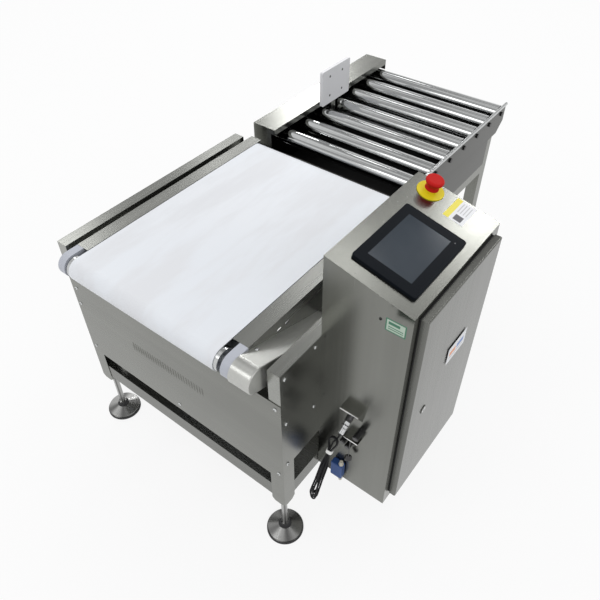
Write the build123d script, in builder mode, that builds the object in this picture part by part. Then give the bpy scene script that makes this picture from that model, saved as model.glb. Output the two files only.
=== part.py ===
from build123d import *
import os
from math import atan, cos, degrees, pi, radians, sin, tan

# Checkweigher: a weighing belt, a roller reject table with a pusher, and a control cabinet.
# All sizes are millimetres. X runs with the goods from infeed to outfeed, Y away from the
# operator and Z up. The origin is on the floor, at the centre of the near infeed foot.

# Stock and fits
sheet = 1.5
tube = 38.0
tube_wall = 2.0
run_gap = 0.05
soft_gap = 0.3

# Frame of the weigh unit
leg_span_x = 615.0
leg_bottom = 172.0
leg_top = 587.0
panel_top = 589.0
panel_low = 291.0
cover_low = 343.0
strip_low = 167.0
strip_chamfer = 9.0
low_rail_bottom = 189.0
low_rail_height = 51.0
wall_top = 686.0
wall_width = 31.0
louvre_count = 28
louvre_pitch = 9.0
louvre_width = 3.0
louvre_height = 26.0
louvre_z = 445.0
louvre_shift = 16.5

# Levelling feet
foot_disc_radius = 47.0
foot_pad_radius = 50.0
foot_pad_height = 8.0
foot_pad_round = 2.0
foot_cone_height = 17.0
foot_rim_height = 4.0
foot_neck_radius = 13.0
foot_neck_flare = 7.0
foot_collar_height = 12.0
foot_collar_chamfer = 2.0
stud_radius = 8.0
stud_length = 205.0
nut_plate = 8.0

# Weigh conveyor
belt_top = 693.0
belt_width = 462.0
belt_thickness = 2.0
belt_wall_gap = 26.0
drum_radius = 28.7
drum_overhang = 10.0
drum_shaft_radius = 10.0
infeed_drum_x = -35.0
outfeed_drum_x = 612.0
rail_start_x = -1.0
rail_near_width = 42.0
rail_far_width = 38.0
rail_depth = 66.0
rail_wall = 2.0
rail_belt_gap = 2.0
rail_slot_length = 15.0
rail_slot_height = 7.0
rail_slot_x = 111.5
rail_slot_pitch = 27.0
rail_slot_drop = 30.0
bed_thickness = 2.5
bed_end_gap = 6.0
block_thickness = 21.0
block_reach = 60.0
block_depth = 24.0
block_clearance = 0.5
block_end_margin = 15.0

# Belt drive
guard_wall_gap = 9.0
drive_space = 54.0
guard_radius = 33.0
guard_round = 3.0
guard_sheet = 1.5
drive_length = 274.0
drive_slope = 18.6
tooth_pitch = 5.0
drum_teeth = 30
motor_teeth = 20
pulley_gap = 19.0
pulley_width = 18.0
pulley_groove = 1.2
shaft_overhang = 4.0
drive_belt_thickness = 2.0
motor_shaft_radius = 7.0
motor_radius = 34.0
motor_length = 150.0
gearbox_size = 74.0
gearbox_length = 45.0
gearbox_corner = 6.0
motor_tab_margin = 42.0

# Load cell group
base_x = 272.0
base_width = 200.0
base_thickness = 12.0
base_top = 563.0
pad_height = 6.0
pad_length = 44.0
cell_length = 150.0
cell_width = 40.0
cell_height = 38.0
cell_hole = 11.0
cell_hole_pitch = 40.0
cell_slit = 6.0
bridge_thickness = 6.0
bridge_cheek = 36.0

# Roller reject table
roller_count = 7
roller_pitch = 88.0
first_roller_x = 746.0
roller_z = 665.0
roller_radius = 25.0
roller_wall = 2.0
roller_end_gap = 6.0
axle_flats = 12.0
bearing_flange = 3.5
bearing_depth = 12.0
bolt_radius = 4.0
bolt_head_radius = 7.0
bolt_head_height = 4.5
bolt_length = 24.0
table_start_x = 680.0
table_end_x = 1303.0
table_setback = 21.0
table_plate = 3.0
table_plate_top = 684.0
table_plate_low = 510.0
plate_nose_low = 632.0
plate_nose_x = 1265.0
plate_leg_z = 600.0
table_leg_x = 1226.0
table_leg_top = 630.0
table_rail_top = 513.0
table_rail_height = 40.0
cross_plate_low = 560.0
cross_plate_top = 650.0
bar_radius = 5.0
bar_seat = 2.0
bar_overhang = 8.0
housing_top = 716.0
housing_width = 82.0
housing_sheet = 2.0
housing_lip = 17.0
housing_end_low = 654.0
housing_skirt_low = 600.0
housing_notch = 14.0

# Pusher
pusher_x = 966.0
rod_radius = 6.0
rod_spread = 40.0
rod_z = 600.0
barrel_radius = 13.0
end_block_thickness = 20.0
end_block_width = 76.0
end_block_height = 40.0
end_block_corner = 4.0
carriage_length = 50.0
carriage_travel_gap = 55.0
arm_width = 24.0
arm_thickness = 8.0
arm_corner = 3.0
arm_paddle_drop = 14.0
paddle_setback = 100.0
paddle_thickness = 10.0
paddle_width = 148.0
paddle_low = 708.0
paddle_height = 112.0
paddle_corner = 5.0
paddle_hole_radius = 2.6
paddle_hole_x = 66.0
paddle_hole_z = 62.0
paddle_countersink = 2.0

# Control cabinet
cabinet_x = 119.0
cabinet_width = 350.0
cabinet_depth = 197.5
cabinet_bottom = 203.0
cabinet_back_top = 906.0
cabinet_front_top = 857.0
cabinet_sheet = 2.0
door_margin = 22.0
door_low = 228.0
door_top = 843.0
door_depth = 16.0
door_gap = 3.0
door_sheet = 2.0
door_corner = 3.0
opening_inset = 12.0
gasket_width = 8.0
gasket_inset = 2.0
hinge_radius = 5.0
hinge_pin_radius = 2.5
hinge_offset = 6.0
hinge_length = 40.0
hinge_inset = 90.0
lock_edge = 62.0
lock_z = 520.0
lock_radius = 11.0
lock_core_radius = 7.0
lock_proud = 2.0
lock_slot_width = 2.0
lock_slot_depth = 1.5
cam_length = 60.0
cam_width = 14.0
cam_thickness = 3.0
plate_standoff = 7.0
plate_thickness = 2.5
plate_margin = 24.0
plate_top_margin = 70.0
spacer_radius = 5.0
spacer_inset = 15.0
device_depth = 82.0
device_corner = 3.0

# Operator panel and stop button, placed on the sloped top
screen_unit_edge = 137.0
screen_unit_up = 95.0
screen_unit_width = 202.0
screen_unit_height = 145.0
screen_unit_proud = 7.0
screen_unit_corner = 7.0
screen_unit_round = 1.5
screen_cut_gap = 0.5
screen_back_inset = 6.0
screen_back_depth = 34.0
screen_width = 152.0
screen_height = 99.0
screen_thickness = 1.5
screen_up = 2.0
screen_sunk = 0.2
stop_edge = 35.0
stop_back_margin = 21.4
stop_plate_radius = 30.0
stop_plate_thickness = 2.0
stop_collar_radius = 13.0
stop_collar_height = 14.0
stop_body_size = 30.0
stop_body_depth = 44.0
stop_neck_depth = 8.0
stop_hole_radius = 11.0
stop_head_radius = 20.0
stop_head_low = 9.0
stop_head_height = 25.0
stop_rim_width = 5.0
stop_rim_height = 6.5
stop_waist_radius = 14.5
stop_waist_height = 6.0
stop_mouth_radius = 15.5
stop_bore_radius = 13.4
stop_bore_depth = 14.0
stop_stem_radius = 8.0
stop_stem_depth = 13.0
stop_travel = 5.0

# Sockets, signal lead and air unit on the cabinet's infeed side
hood_y = -114.0
hood_width = 48.0
hood_reach = 22.0
hood_lip = 3.5
hood_top = 520.0
hood_height = 40.0
socket_radius = 8.5
socket_length = 10.0
shelf_y = -123.0
shelf_width = 38.0
shelf_z = 416.0
shelf_reach = 21.0
shelf_flange = 12.0
cap_radius = 7.5
cap_seat = 4.0
cap_length = 24.0
cap_round = 2.0
dust_cap_radius = 9.0
dust_cap_length = 10.0
strap_radius = 1.2
strap_drop = 82.0
plug_length = 40.0
plug_nut_length = 17.0
plug_barrel_length = 17.0
plug_radius = 8.0
plug_step = 1.0
lead_radius = 2.5
lead_straight = 9.0
hank_out = 20.2
hank_aside = 5.5
hank_drop = 17.4
hank_lean = 25.9
hank_swing = 3.2
hank_length = 158.0
hank_width = 27.0
hank_depth = 16.0
hank_corner = 4.2
tie_start = 14.0
tie_width = 8.0
tie_thickness = 1.5
air_y = -88.0
air_z = 250.0
air_width = 32.0
air_height = 54.0
air_depth = 16.0
air_corner = 3.0
air_bracket_thickness = 3.0
air_bracket_inset = 4.0
air_fitting_y = 10.0
air_fitting_flats = 11.0
air_nut_height = 6.0
air_tube_radius = 4.5
air_tube_length = 7.0

# Derived places
half_tube = tube / 2
near_face = -half_tube - sheet
guard_near = wall_width - half_tube + guard_wall_gap
pulley_near = guard_near + pulley_gap
rail_near_face = guard_near + drive_space
belt_near = rail_near_face + rail_near_width + rail_belt_gap
belt_far = belt_near + belt_width
rail_far_face = belt_far + rail_belt_gap + rail_far_width
leg_span_y = rail_far_face + belt_wall_gap + wall_width - half_tube
far_face = leg_span_y - near_face
infeed_face = -half_tube - sheet
outfeed_face = leg_span_x + half_tube + sheet
mid_y = leg_span_y / 2
drum_z = belt_top - drum_radius - soft_gap - belt_thickness
belt_radius = belt_top - drum_z
rail_end_x = outfeed_drum_x + belt_radius
drive_dx = drive_length * cos(radians(drive_slope))
drive_dz = drive_length * sin(radians(drive_slope))
motor_x = infeed_drum_x + drive_dx
motor_z = drum_z - drive_dz
drum_pulley_radius = drum_teeth * tooth_pitch / (2 * pi)
motor_pulley_radius = motor_teeth * tooth_pitch / (2 * pi)
drum_near = belt_near - drum_overhang
drum_far = belt_far + drum_overhang
cell_bottom = base_top + pad_height
bridge_bottom = cell_bottom + cell_height + pad_height
table_near = belt_near - table_setback
table_far = leg_span_y - half_tube
roller_near = table_near + table_plate + roller_end_gap
roller_far = table_far - table_plate - roller_end_gap
roller_xs = [first_roller_x + roller_pitch * i for i in range(roller_count)]
plate_inner_near = table_near + table_plate
plate_inner_far = table_far - table_plate
paddle_near = table_far - paddle_setback
cabinet_back = near_face
cabinet_front = cabinet_back - cabinet_depth
top_slope = degrees(atan((cabinet_back_top - cabinet_front_top) / cabinet_depth))
door_x = cabinet_x + door_margin
door_width = cabinet_width - 2 * door_margin
door_height = door_top - door_low
lock_x = door_x + lock_edge
screen_unit_x = cabinet_x + screen_unit_edge
stop_x = cabinet_x + cabinet_width - stop_edge
stop_reach = (stop_neck_depth + stop_body_depth) * sin(radians(top_slope))
stop_up = (cabinet_depth - stop_back_margin - stop_reach) / cos(radians(top_slope)) - stop_body_size / 2
door_back = cabinet_front - door_gap
door_front = door_back - door_depth
hinge_x = door_x + door_width + hinge_offset
hinge_y = door_back - hinge_radius + 1


def save(shape, name):
    """Write one node as its own STEP file."""
    shape.label = name
    export_step(shape, f"parts/{name}.step")


def group(solids):
    """Separate solids that share one node."""
    return Compound(children=list(solids))


def side(y):
    """Upright plane that faces the operator, at the given Y, with X and Z as its axes."""
    return Plane(origin=(0, y, 0), x_dir=(1, 0, 0), z_dir=(0, -1, 0))


def on_top(x, up):
    """Plane on the cabinet's sloped top: X, and the way up the slope from its front edge."""
    slope = radians(top_slope)
    origin = (x, cabinet_front + up * cos(slope), cabinet_front_top + up * sin(slope))
    return Plane(origin=origin, x_dir=(1, 0, 0), z_dir=(0, -sin(slope), cos(slope)))


def beam_x(x0, x1, y, z, height):
    """Rectangular tube along X, centred on Y, with its lower face at Z."""
    with BuildPart() as member:
        with BuildSketch(Plane.YZ.offset(x0)):
            with Locations((y, z + height / 2)):
                Rectangle(tube, height)
                Rectangle(tube - 2 * tube_wall, height - 2 * tube_wall, mode=Mode.SUBTRACT)
        extrude(amount=x1 - x0)
    return member.part


def beam_y(y0, y1, x, z, height):
    """Rectangular tube along Y, centred on X, with its lower face at Z."""
    with BuildPart() as member:
        with BuildSketch(side(y0)):
            with Locations((x, z + height / 2)):
                Rectangle(tube, height)
                Rectangle(tube - 2 * tube_wall, height - 2 * tube_wall, mode=Mode.SUBTRACT)
        extrude(amount=y0 - y1)
    return member.part


def leg(x, y, top):
    """Leg of square tube, closed below by the plate that the foot's stud screws through."""
    with BuildPart() as post:
        with BuildSketch(Plane.XY.offset(leg_bottom)):
            with Locations((x, y)):
                Rectangle(tube, tube)
        extrude(amount=top - leg_bottom)
        with BuildSketch(Plane.XY.offset(leg_bottom + nut_plate)):
            with Locations((x, y)):
                Rectangle(tube - 2 * tube_wall, tube - 2 * tube_wall)
        extrude(amount=top - leg_bottom, mode=Mode.SUBTRACT)
        with BuildSketch(Plane.XY.offset(leg_bottom)):
            with Locations((x, y)):
                Circle(stud_radius + run_gap)
        extrude(amount=nut_plate, mode=Mode.SUBTRACT)
    return post.part


def foot(x, y):
    """Levelling foot: a rubber pad, and a turned cone with its stud."""
    plane = Plane(origin=(x, y, 0), x_dir=(1, 0, 0), z_dir=(0, -1, 0))
    with BuildPart() as pad:
        with BuildSketch(Plane.XY):
            with Locations((x, y)):
                Circle(foot_pad_radius)
        extrude(amount=foot_pad_height)
        chamfer(pad.edges().group_by(Axis.Z)[-1], foot_pad_round)
    cone_top = foot_pad_height + foot_cone_height
    collar_top = cone_top + foot_collar_height
    with BuildPart() as cone:
        with BuildSketch(plane):
            with BuildLine():
                Polyline(
                    (0, foot_pad_height),
                    (foot_disc_radius, foot_pad_height),
                    (foot_disc_radius, foot_pad_height + foot_rim_height),
                    (foot_neck_radius + foot_neck_flare, cone_top - foot_collar_chamfer),
                    (foot_neck_radius + foot_collar_chamfer, cone_top),
                    (foot_neck_radius, collar_top - foot_collar_chamfer),
                    (foot_neck_radius - foot_collar_chamfer, collar_top),
                    (stud_radius, collar_top),
                    (stud_radius, foot_pad_height + stud_length),
                    (0, foot_pad_height + stud_length),
                    close=True,
                )
            make_face()
        revolve(axis=Axis((x, y, 0), (0, 0, 1)))
    return group([pad.part, cone.part])


def end_panel(x, with_louvres):
    """Sheet across one end of the weigh unit, with strips that run down over its legs."""
    with BuildPart() as panel:
        with BuildSketch(Plane.YZ.offset(x)):
            with Locations((mid_y, (panel_top + panel_low) / 2)):
                Rectangle(far_face - near_face, panel_top - panel_low)
            for centre in (0, leg_span_y):
                with Locations((centre, (panel_low + strip_low) / 2)):
                    Rectangle(tube + 2 * sheet, panel_low - strip_low)
            if with_louvres:
                with Locations((mid_y + louvre_shift, louvre_z)):
                    with GridLocations(louvre_pitch, 0, louvre_count, 1):
                        Rectangle(louvre_width, louvre_height, mode=Mode.SUBTRACT)
        extrude(amount=sheet)
        bottom = panel.edges().filter_by(Axis.X).group_by(Axis.Z)[0]
        chamfer(bottom, strip_chamfer)
    return panel.part


def side_cover(y):
    """Sheet over one long side, up to the wall's top, with strips down over the legs."""
    start, end = infeed_face + sheet, outfeed_face - sheet
    with BuildPart() as cover:
        with BuildSketch(side(y)):
            with Locations(((start + end) / 2, (wall_top + cover_low) / 2)):
                Rectangle(end - start, wall_top - cover_low)
            for centre in (0, leg_span_x):
                with Locations((centre, (cover_low + strip_low) / 2)):
                    Rectangle(tube, cover_low - strip_low)
        extrude(amount=-sheet)
        chamfer(cover.edges().filter_by(Axis.Y).group_by(Axis.Z)[0], strip_chamfer)
    return cover.part


def wall(y):
    """Long box wall beside the weigh conveyor, closed at its ends and open below."""
    start, end = infeed_face + sheet, outfeed_face - sheet
    height = wall_top - leg_top
    with BuildPart() as box:
        with BuildSketch(Plane.XY.offset(leg_top)):
            with Locations(((start + end) / 2, y + wall_width / 2)):
                Rectangle(end - start, wall_width)
        extrude(amount=height)
        with BuildSketch(Plane.XY.offset(leg_top)):
            with Locations(((start + end) / 2, y + wall_width / 2)):
                Rectangle(end - start - 2 * sheet, wall_width - 2 * sheet)
        extrude(amount=height - sheet, mode=Mode.SUBTRACT)
    return box.part


def side_rail(face, flange_width, inward):
    """Bent side rail of the weigh conveyor: an upright web and a flange level with the belt."""
    web_y = face if inward > 0 else face - rail_wall
    flange_y = face if inward > 0 else face - flange_width
    length = rail_end_x - rail_start_x
    with BuildPart() as rail:
        with BuildSketch(side(web_y)):
            with Locations((rail_start_x + length / 2, belt_top - rail_depth / 2)):
                Rectangle(length, rail_depth)
            if inward > 0:
                with Locations((motor_x, (motor_z - motor_tab_margin + belt_top) / 2)):
                    Rectangle(2 * motor_tab_margin, belt_top - motor_z + motor_tab_margin)
                with Locations((motor_x, motor_z)):
                    Circle(motor_shaft_radius + rail_wall, mode=Mode.SUBTRACT)
                with Locations((rail_slot_x, belt_top - rail_slot_drop)):
                    with GridLocations(rail_slot_pitch, 0, 2, 1):
                        SlotOverall(rail_slot_length, rail_slot_height, mode=Mode.SUBTRACT)
        extrude(amount=-rail_wall)
        with BuildSketch(side(flange_y)):
            with Locations((rail_start_x + length / 2, belt_top - rail_wall / 2)):
                Rectangle(length, rail_wall)
        extrude(amount=-flange_width)
    return rail.part


def end_block(drum_x, rail_x, face, inward):
    """White bearing block: round about the drum's axis, and let in under the rail's flange."""
    toward = 1 if rail_x > drum_x else -1
    near = face if inward > 0 else face - rail_wall - block_thickness
    inner = near + rail_wall if inward > 0 else near
    head_depth = rail_wall + block_thickness
    block_z = belt_top - rail_wall - block_clearance - block_depth
    with BuildPart() as block:
        with BuildSketch(side(near)):
            with Locations((drum_x, drum_z)):
                Circle(belt_radius - block_clearance)
            with Locations(((drum_x + rail_x) / 2, drum_z)):
                Rectangle(abs(rail_x - drum_x), 2 * (belt_radius - block_clearance))
        extrude(amount=-head_depth)
        with BuildSketch(side(inner)):
            with Locations((rail_x + toward * block_reach / 2, block_z)):
                Rectangle(block_reach, 2 * block_depth)
        extrude(amount=-block_thickness)
        with BuildSketch(side(near)):
            with Locations((drum_x, drum_z)):
                Circle(drum_shaft_radius + run_gap)
        extrude(amount=-head_depth, mode=Mode.SUBTRACT)
    return block.part


def turned(x, z, steps):
    """Turned piece along Y about the axis at X and Z. Each step is its start, end and radius."""
    with BuildPart() as piece:
        for start, end, radius in steps:
            with BuildSketch(side(start)):
                with Locations((x, z)):
                    Circle(radius)
            extrude(amount=start - end)
    return piece.part


def pulley(x, z, radius, teeth, bore):
    """Timing pulley with one shallow groove between each pair of teeth."""
    with BuildPart() as wheel:
        with BuildSketch(side(pulley_near)):
            with Locations((x, z)):
                Circle(radius)
            with Locations((x, z)):
                with PolarLocations(radius, teeth):
                    Rectangle(2 * pulley_groove, tooth_pitch / 2, mode=Mode.SUBTRACT)
                Circle(bore, mode=Mode.SUBTRACT)
        extrude(amount=-pulley_width)
    return wheel.part


os.makedirs("parts", exist_ok=True)

# Weigh unit: legs, rails, panels, covers and walls
weigh_legs = [leg(x, y, leg_top) for x in (0, leg_span_x) for y in (0, leg_span_y)]
save(group(weigh_legs), "weigh_legs")

upper_rail_z = leg_top - tube
weigh_rails = []
for height, z in ((low_rail_height, low_rail_bottom), (tube, upper_rail_z)):
    for y in (0, leg_span_y):
        weigh_rails.append(beam_x(half_tube, leg_span_x - half_tube, y, z, height))
    for x in (0, leg_span_x):
        weigh_rails.append(beam_y(half_tube, leg_span_y - half_tube, x, z, height))
table_rail_z = table_rail_top - table_rail_height
weigh_rails.append(
    beam_y(half_tube, leg_span_y - half_tube, leg_span_x, table_rail_z, table_rail_height)
)
save(group(weigh_rails), "weigh_rails")

save(end_panel(infeed_face, True), "infeed_panel")
save(end_panel(outfeed_face - sheet, False), "outfeed_panel")
save(group([side_cover(near_face), side_cover(far_face - sheet)]), "side_covers")
save(group([wall(near_face + sheet), wall(far_face - sheet - wall_width)]), "side_walls")

# Levelling feet of the weigh unit and of the reject table
table_leg_near = plate_inner_near + half_tube
table_leg_far = plate_inner_far - half_tube
foot_places = {
    "foot_near_infeed": (0, 0),
    "foot_far_infeed": (0, leg_span_y),
    "foot_near_middle": (leg_span_x, 0),
    "foot_far_middle": (leg_span_x, leg_span_y),
    "foot_near_outfeed": (table_leg_x, table_leg_near),
    "foot_far_outfeed": (table_leg_x, table_leg_far),
}
for name, (x, y) in foot_places.items():
    save(foot(x, y), name)

# Load cell on its base plate, and the bridge that carries the conveyor on the cell
base_mid_x = base_x + base_width / 2
cell_near = mid_y - cell_length / 2
with BuildPart() as base_plate:
    with BuildSketch(Plane.XY.offset(base_top - base_thickness)):
        with Locations((base_mid_x, mid_y)):
            Rectangle(base_width, leg_span_y - tube)
    extrude(amount=base_thickness)
    with BuildSketch(Plane.XY.offset(base_top)):
        with Locations((base_mid_x, cell_near + pad_length / 2)):
            Rectangle(cell_width, pad_length)
    extrude(amount=pad_height)
save(base_plate.part, "base_plate")

with BuildPart() as load_cell:
    with BuildSketch(Plane.YZ.offset(base_mid_x - cell_width / 2)):
        with Locations((mid_y, cell_bottom + cell_height / 2)):
            Rectangle(cell_length, cell_height)
            with GridLocations(cell_hole_pitch, 0, 2, 1):
                Circle(cell_hole, mode=Mode.SUBTRACT)
            Rectangle(cell_hole_pitch, cell_slit, mode=Mode.SUBTRACT)
    extrude(amount=cell_width)
save(load_cell.part, "load_cell")

bridge_near = rail_near_face + rail_wall
bridge_far = rail_far_face - rail_wall
with BuildPart() as weigh_bridge:
    with BuildSketch(Plane.XY.offset(bridge_bottom)):
        with Locations((base_mid_x, (bridge_near + bridge_far) / 2)):
            Rectangle(base_width, bridge_far - bridge_near)
    extrude(amount=bridge_thickness)
    with BuildSketch(Plane.XY.offset(bridge_bottom - pad_height)):
        with Locations((base_mid_x, cell_near + cell_length - pad_length / 2)):
            Rectangle(cell_width, pad_length)
    extrude(amount=pad_height)
    cheek_z = bridge_bottom + bridge_cheek / 2
    for y in (bridge_near, bridge_far - bridge_thickness):
        with BuildSketch(side(y)):
            with Locations((base_mid_x, cheek_z)):
                Rectangle(base_width, bridge_cheek)
        extrude(amount=-bridge_thickness)
save(weigh_bridge.part, "weigh_bridge")

# Weigh conveyor: side rails, slider bed, end blocks, drums and belt
near_rail = side_rail(rail_near_face, rail_near_width, 1)
far_rail = side_rail(rail_far_face, rail_far_width, -1)
save(group([near_rail, far_rail]), "conveyor_side_rails")

bed_start = infeed_drum_x + belt_radius + bed_end_gap
bed_end = outfeed_drum_x - belt_radius - bed_end_gap
bed_near = rail_near_face + rail_wall + block_thickness
bed_far = rail_far_face - rail_wall - block_thickness
bed_top = belt_top - belt_thickness - soft_gap
with BuildPart() as slider_bed:
    with BuildSketch(Plane.XY.offset(bed_top - bed_thickness)):
        with Locations(((bed_start + bed_end) / 2, (bed_near + bed_far) / 2)):
            Rectangle(bed_end - bed_start, bed_far - bed_near)
        with Locations(((bed_start + bed_end) / 2, (bridge_near + bridge_far) / 2)):
            Rectangle(bed_end - bed_start - 2 * block_reach, bridge_far - bridge_near)
    extrude(amount=bed_thickness)
save(slider_bed.part, "slider_bed")

blocks = [
    end_block(infeed_drum_x, rail_start_x, rail_near_face, 1),
    end_block(infeed_drum_x, rail_start_x, rail_far_face, -1),
]
for face, inward in ((rail_near_face, 1), (rail_far_face, -1)):
    near = face + rail_wall if inward > 0 else face - rail_wall - block_thickness
    with BuildPart() as outfeed_block:
        with BuildSketch(side(near)):
            with Locations((outfeed_drum_x - block_end_margin, drum_z + block_clearance)):
                Rectangle(2 * (belt_radius + block_end_margin - 1), 2 * block_depth)
            with Locations((outfeed_drum_x, drum_z)):
                Circle(drum_shaft_radius + run_gap, mode=Mode.SUBTRACT)
        extrude(amount=-block_thickness)
    blocks.append(outfeed_block.part)
save(group(blocks), "bearing_blocks")

shaft_far = rail_far_face - 2 * rail_wall
drive_drum = turned(
    infeed_drum_x,
    drum_z,
    [
        (pulley_near - shaft_overhang, drum_near, drum_shaft_radius),
        (drum_near, drum_far, drum_radius),
        (drum_far, rail_far_face - rail_wall, drum_shaft_radius),
    ],
)
drum_pulley = pulley(infeed_drum_x, drum_z, drum_pulley_radius, drum_teeth, drum_shaft_radius)
save(group([drive_drum, drum_pulley]), "drive_drum")
tail_drum = turned(
    outfeed_drum_x,
    drum_z,
    [
        (bridge_near + rail_wall, drum_near, drum_shaft_radius),
        (drum_near, drum_far, drum_radius),
        (drum_far, shaft_far, drum_shaft_radius),
    ],
)
save(tail_drum, "tail_drum")

belt_centre_x = (infeed_drum_x + outfeed_drum_x) / 2
drum_span = outfeed_drum_x - infeed_drum_x
with BuildPart() as weigh_belt:
    with BuildSketch(side(belt_near)):
        with Locations((belt_centre_x, drum_z)):
            SlotCenterToCenter(drum_span, 2 * belt_radius)
            SlotCenterToCenter(drum_span, 2 * (belt_radius - belt_thickness), mode=Mode.SUBTRACT)
    extrude(amount=-belt_width)
save(weigh_belt.part, "weigh_belt")

# Belt drive beside the conveyor: motor, pulley, timing belt and guard
flange_near = rail_near_face + rail_wall
gearbox_far = flange_near + gearbox_length
with BuildPart() as gearmotor:
    with BuildSketch(side(flange_near)):
        with Locations((motor_x, motor_z)):
            RectangleRounded(gearbox_size, gearbox_size, gearbox_corner)
    extrude(amount=-gearbox_length)
    with BuildSketch(side(gearbox_far)):
        with Locations((motor_x, motor_z)):
            Circle(motor_radius)
    extrude(amount=-motor_length)
    with BuildSketch(side(flange_near)):
        with Locations((motor_x, motor_z)):
            Circle(motor_shaft_radius + run_gap)
    extrude(amount=-gearbox_length + gearbox_corner, mode=Mode.SUBTRACT)
save(gearmotor.part, "gearmotor")

motor_shaft = turned(
    motor_x,
    motor_z,
    [(pulley_near - shaft_overhang, gearbox_far - 2 * shaft_overhang, motor_shaft_radius)],
)
motor_wheel = pulley(motor_x, motor_z, motor_pulley_radius, motor_teeth, motor_shaft_radius)
save(group([motor_shaft, motor_wheel]), "motor_pulley")

with BuildPart() as timing_belt:
    for reach, mode in ((soft_gap + drive_belt_thickness, Mode.ADD), (soft_gap, Mode.SUBTRACT)):
        with BuildSketch(side(pulley_near + 1)):
            with Locations((infeed_drum_x, drum_z)):
                Circle(drum_pulley_radius + reach)
            with Locations((motor_x, motor_z)):
                Circle(motor_pulley_radius + reach)
            make_hull()
        extrude(amount=-pulley_width + 2, mode=mode)
save(timing_belt.part, "timing_belt")

guard_depth = rail_near_face - guard_near
guard_mid = ((infeed_drum_x + motor_x) / 2, (drum_z + motor_z) / 2)
with BuildPart() as belt_guard:
    with BuildSketch(side(guard_near)):
        with Locations(guard_mid):
            SlotCenterToCenter(drive_length, 2 * guard_radius, rotation=-drive_slope)
    extrude(amount=-guard_depth)
    fillet(belt_guard.edges().group_by(Axis.Y)[0], guard_round)
    with BuildSketch(side(guard_near + guard_sheet)):
        with Locations(guard_mid):
            SlotCenterToCenter(
                drive_length, 2 * (guard_radius - guard_sheet), rotation=-drive_slope
            )
    extrude(amount=-guard_depth, mode=Mode.SUBTRACT)
save(belt_guard.part, "belt_guard")

# Reject table: stand, side plates, cross plate, slide-off bar and housing
stand = [
    leg(table_leg_x, table_leg_near, table_leg_top),
    leg(table_leg_x, table_leg_far, table_leg_top),
]
for y in (table_leg_near, table_leg_far):
    stand.append(beam_x(outfeed_face, table_leg_x - half_tube, y, table_rail_z, table_rail_height))
for z, height in ((table_rail_z, table_rail_height), (low_rail_bottom, tube)):
    stand.append(
        beam_y(table_leg_near + half_tube, table_leg_far - half_tube, table_leg_x, z, height)
    )
save(group(stand), "table_stand")

leg_edge_x = table_leg_x - half_tube
side_plates = []
for y in (table_near, plate_inner_far):
    with BuildPart() as side_plate:
        with BuildSketch(side(y)):
            with BuildLine():
                Polyline(
                    (table_start_x, table_plate_low),
                    (leg_edge_x, table_plate_low),
                    (leg_edge_x, plate_leg_z),
                    (plate_nose_x, plate_leg_z),
                    (table_end_x, plate_nose_low),
                    (table_end_x, table_plate_top),
                    (table_start_x, table_plate_top),
                    close=True,
                )
            make_face()
            for x in roller_xs:
                if y == table_near:
                    with Locations((x, roller_z)):
                        Circle(bolt_radius, mode=Mode.SUBTRACT)
                else:
                    slot_low = roller_z - axle_flats / 2 / cos(radians(30))
                    with Locations((x, (slot_low + table_plate_top) / 2)):
                        Rectangle(axle_flats, table_plate_top - slot_low, mode=Mode.SUBTRACT)
        extrude(amount=-table_plate)
    side_plates.append(side_plate.part)
with BuildPart() as cross_plate:
    with BuildSketch(Plane.YZ.offset(table_start_x)):
        mid_table = (plate_inner_near + plate_inner_far) / 2
        with Locations((mid_table, (cross_plate_low + cross_plate_top) / 2)):
            Rectangle(plate_inner_far - plate_inner_near, cross_plate_top - cross_plate_low)
    extrude(amount=table_plate)
side_plates.append(cross_plate.part)
save(group(side_plates), "table_side_plates")

bar_z = table_plate_top + bar_radius - bar_seat
with BuildPart() as slide_off_bar:
    with BuildSketch(Plane.YZ.offset(table_start_x)):
        with Locations((table_near + table_plate / 2, bar_z)):
            Circle(bar_radius)
    extrude(amount=table_end_x - table_start_x + bar_overhang)
    fillet(slide_off_bar.edges().group_by(Axis.X)[-1], bar_radius - 1)
    with BuildSketch(Plane.YZ.offset(table_start_x)):
        with Locations((table_near + table_plate / 2, table_plate_top - bar_radius)):
            Rectangle(table_plate, 2 * bar_radius)
    extrude(amount=table_end_x - table_start_x, mode=Mode.SUBTRACT)
save(slide_off_bar.part, "slide_off_bar")

housing_outer = table_far + housing_sheet
housing_near = housing_outer - housing_width
housing_length = table_end_x - table_start_x
with BuildPart() as roller_housing:
    with BuildSketch(Plane.YZ.offset(table_start_x)):
        with BuildLine():
            Polyline(
                (housing_near, housing_top - housing_lip),
                (housing_near, housing_top),
                (housing_outer, housing_top),
                (housing_outer, housing_skirt_low),
                (housing_outer - housing_sheet, housing_skirt_low),
                (housing_outer - housing_sheet, housing_top - housing_sheet),
                (housing_near + housing_sheet, housing_top - housing_sheet),
                (housing_near + housing_sheet, housing_top - housing_lip),
                close=True,
            )
        make_face()
    extrude(amount=housing_length)
    notch_y = housing_near + housing_notch
    inner_far = housing_outer - housing_sheet
    with BuildSketch(Plane.YZ.offset(table_start_x - housing_sheet)):
        with Locations(((notch_y + housing_outer) / 2, (housing_end_low + housing_top) / 2)):
            Rectangle(housing_outer - notch_y, housing_top - housing_end_low)
        with Locations(((housing_near + notch_y) / 2, housing_top - housing_lip / 2)):
            Rectangle(notch_y - housing_near, housing_lip)
    extrude(amount=housing_sheet)
    with BuildSketch(Plane.YZ.offset(table_end_x)):
        with Locations(((housing_near + housing_outer) / 2, housing_top - housing_lip)):
            Rectangle(housing_width, 2 * housing_lip)
    extrude(amount=housing_sheet)
save(roller_housing.part, "roller_housing")

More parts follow.
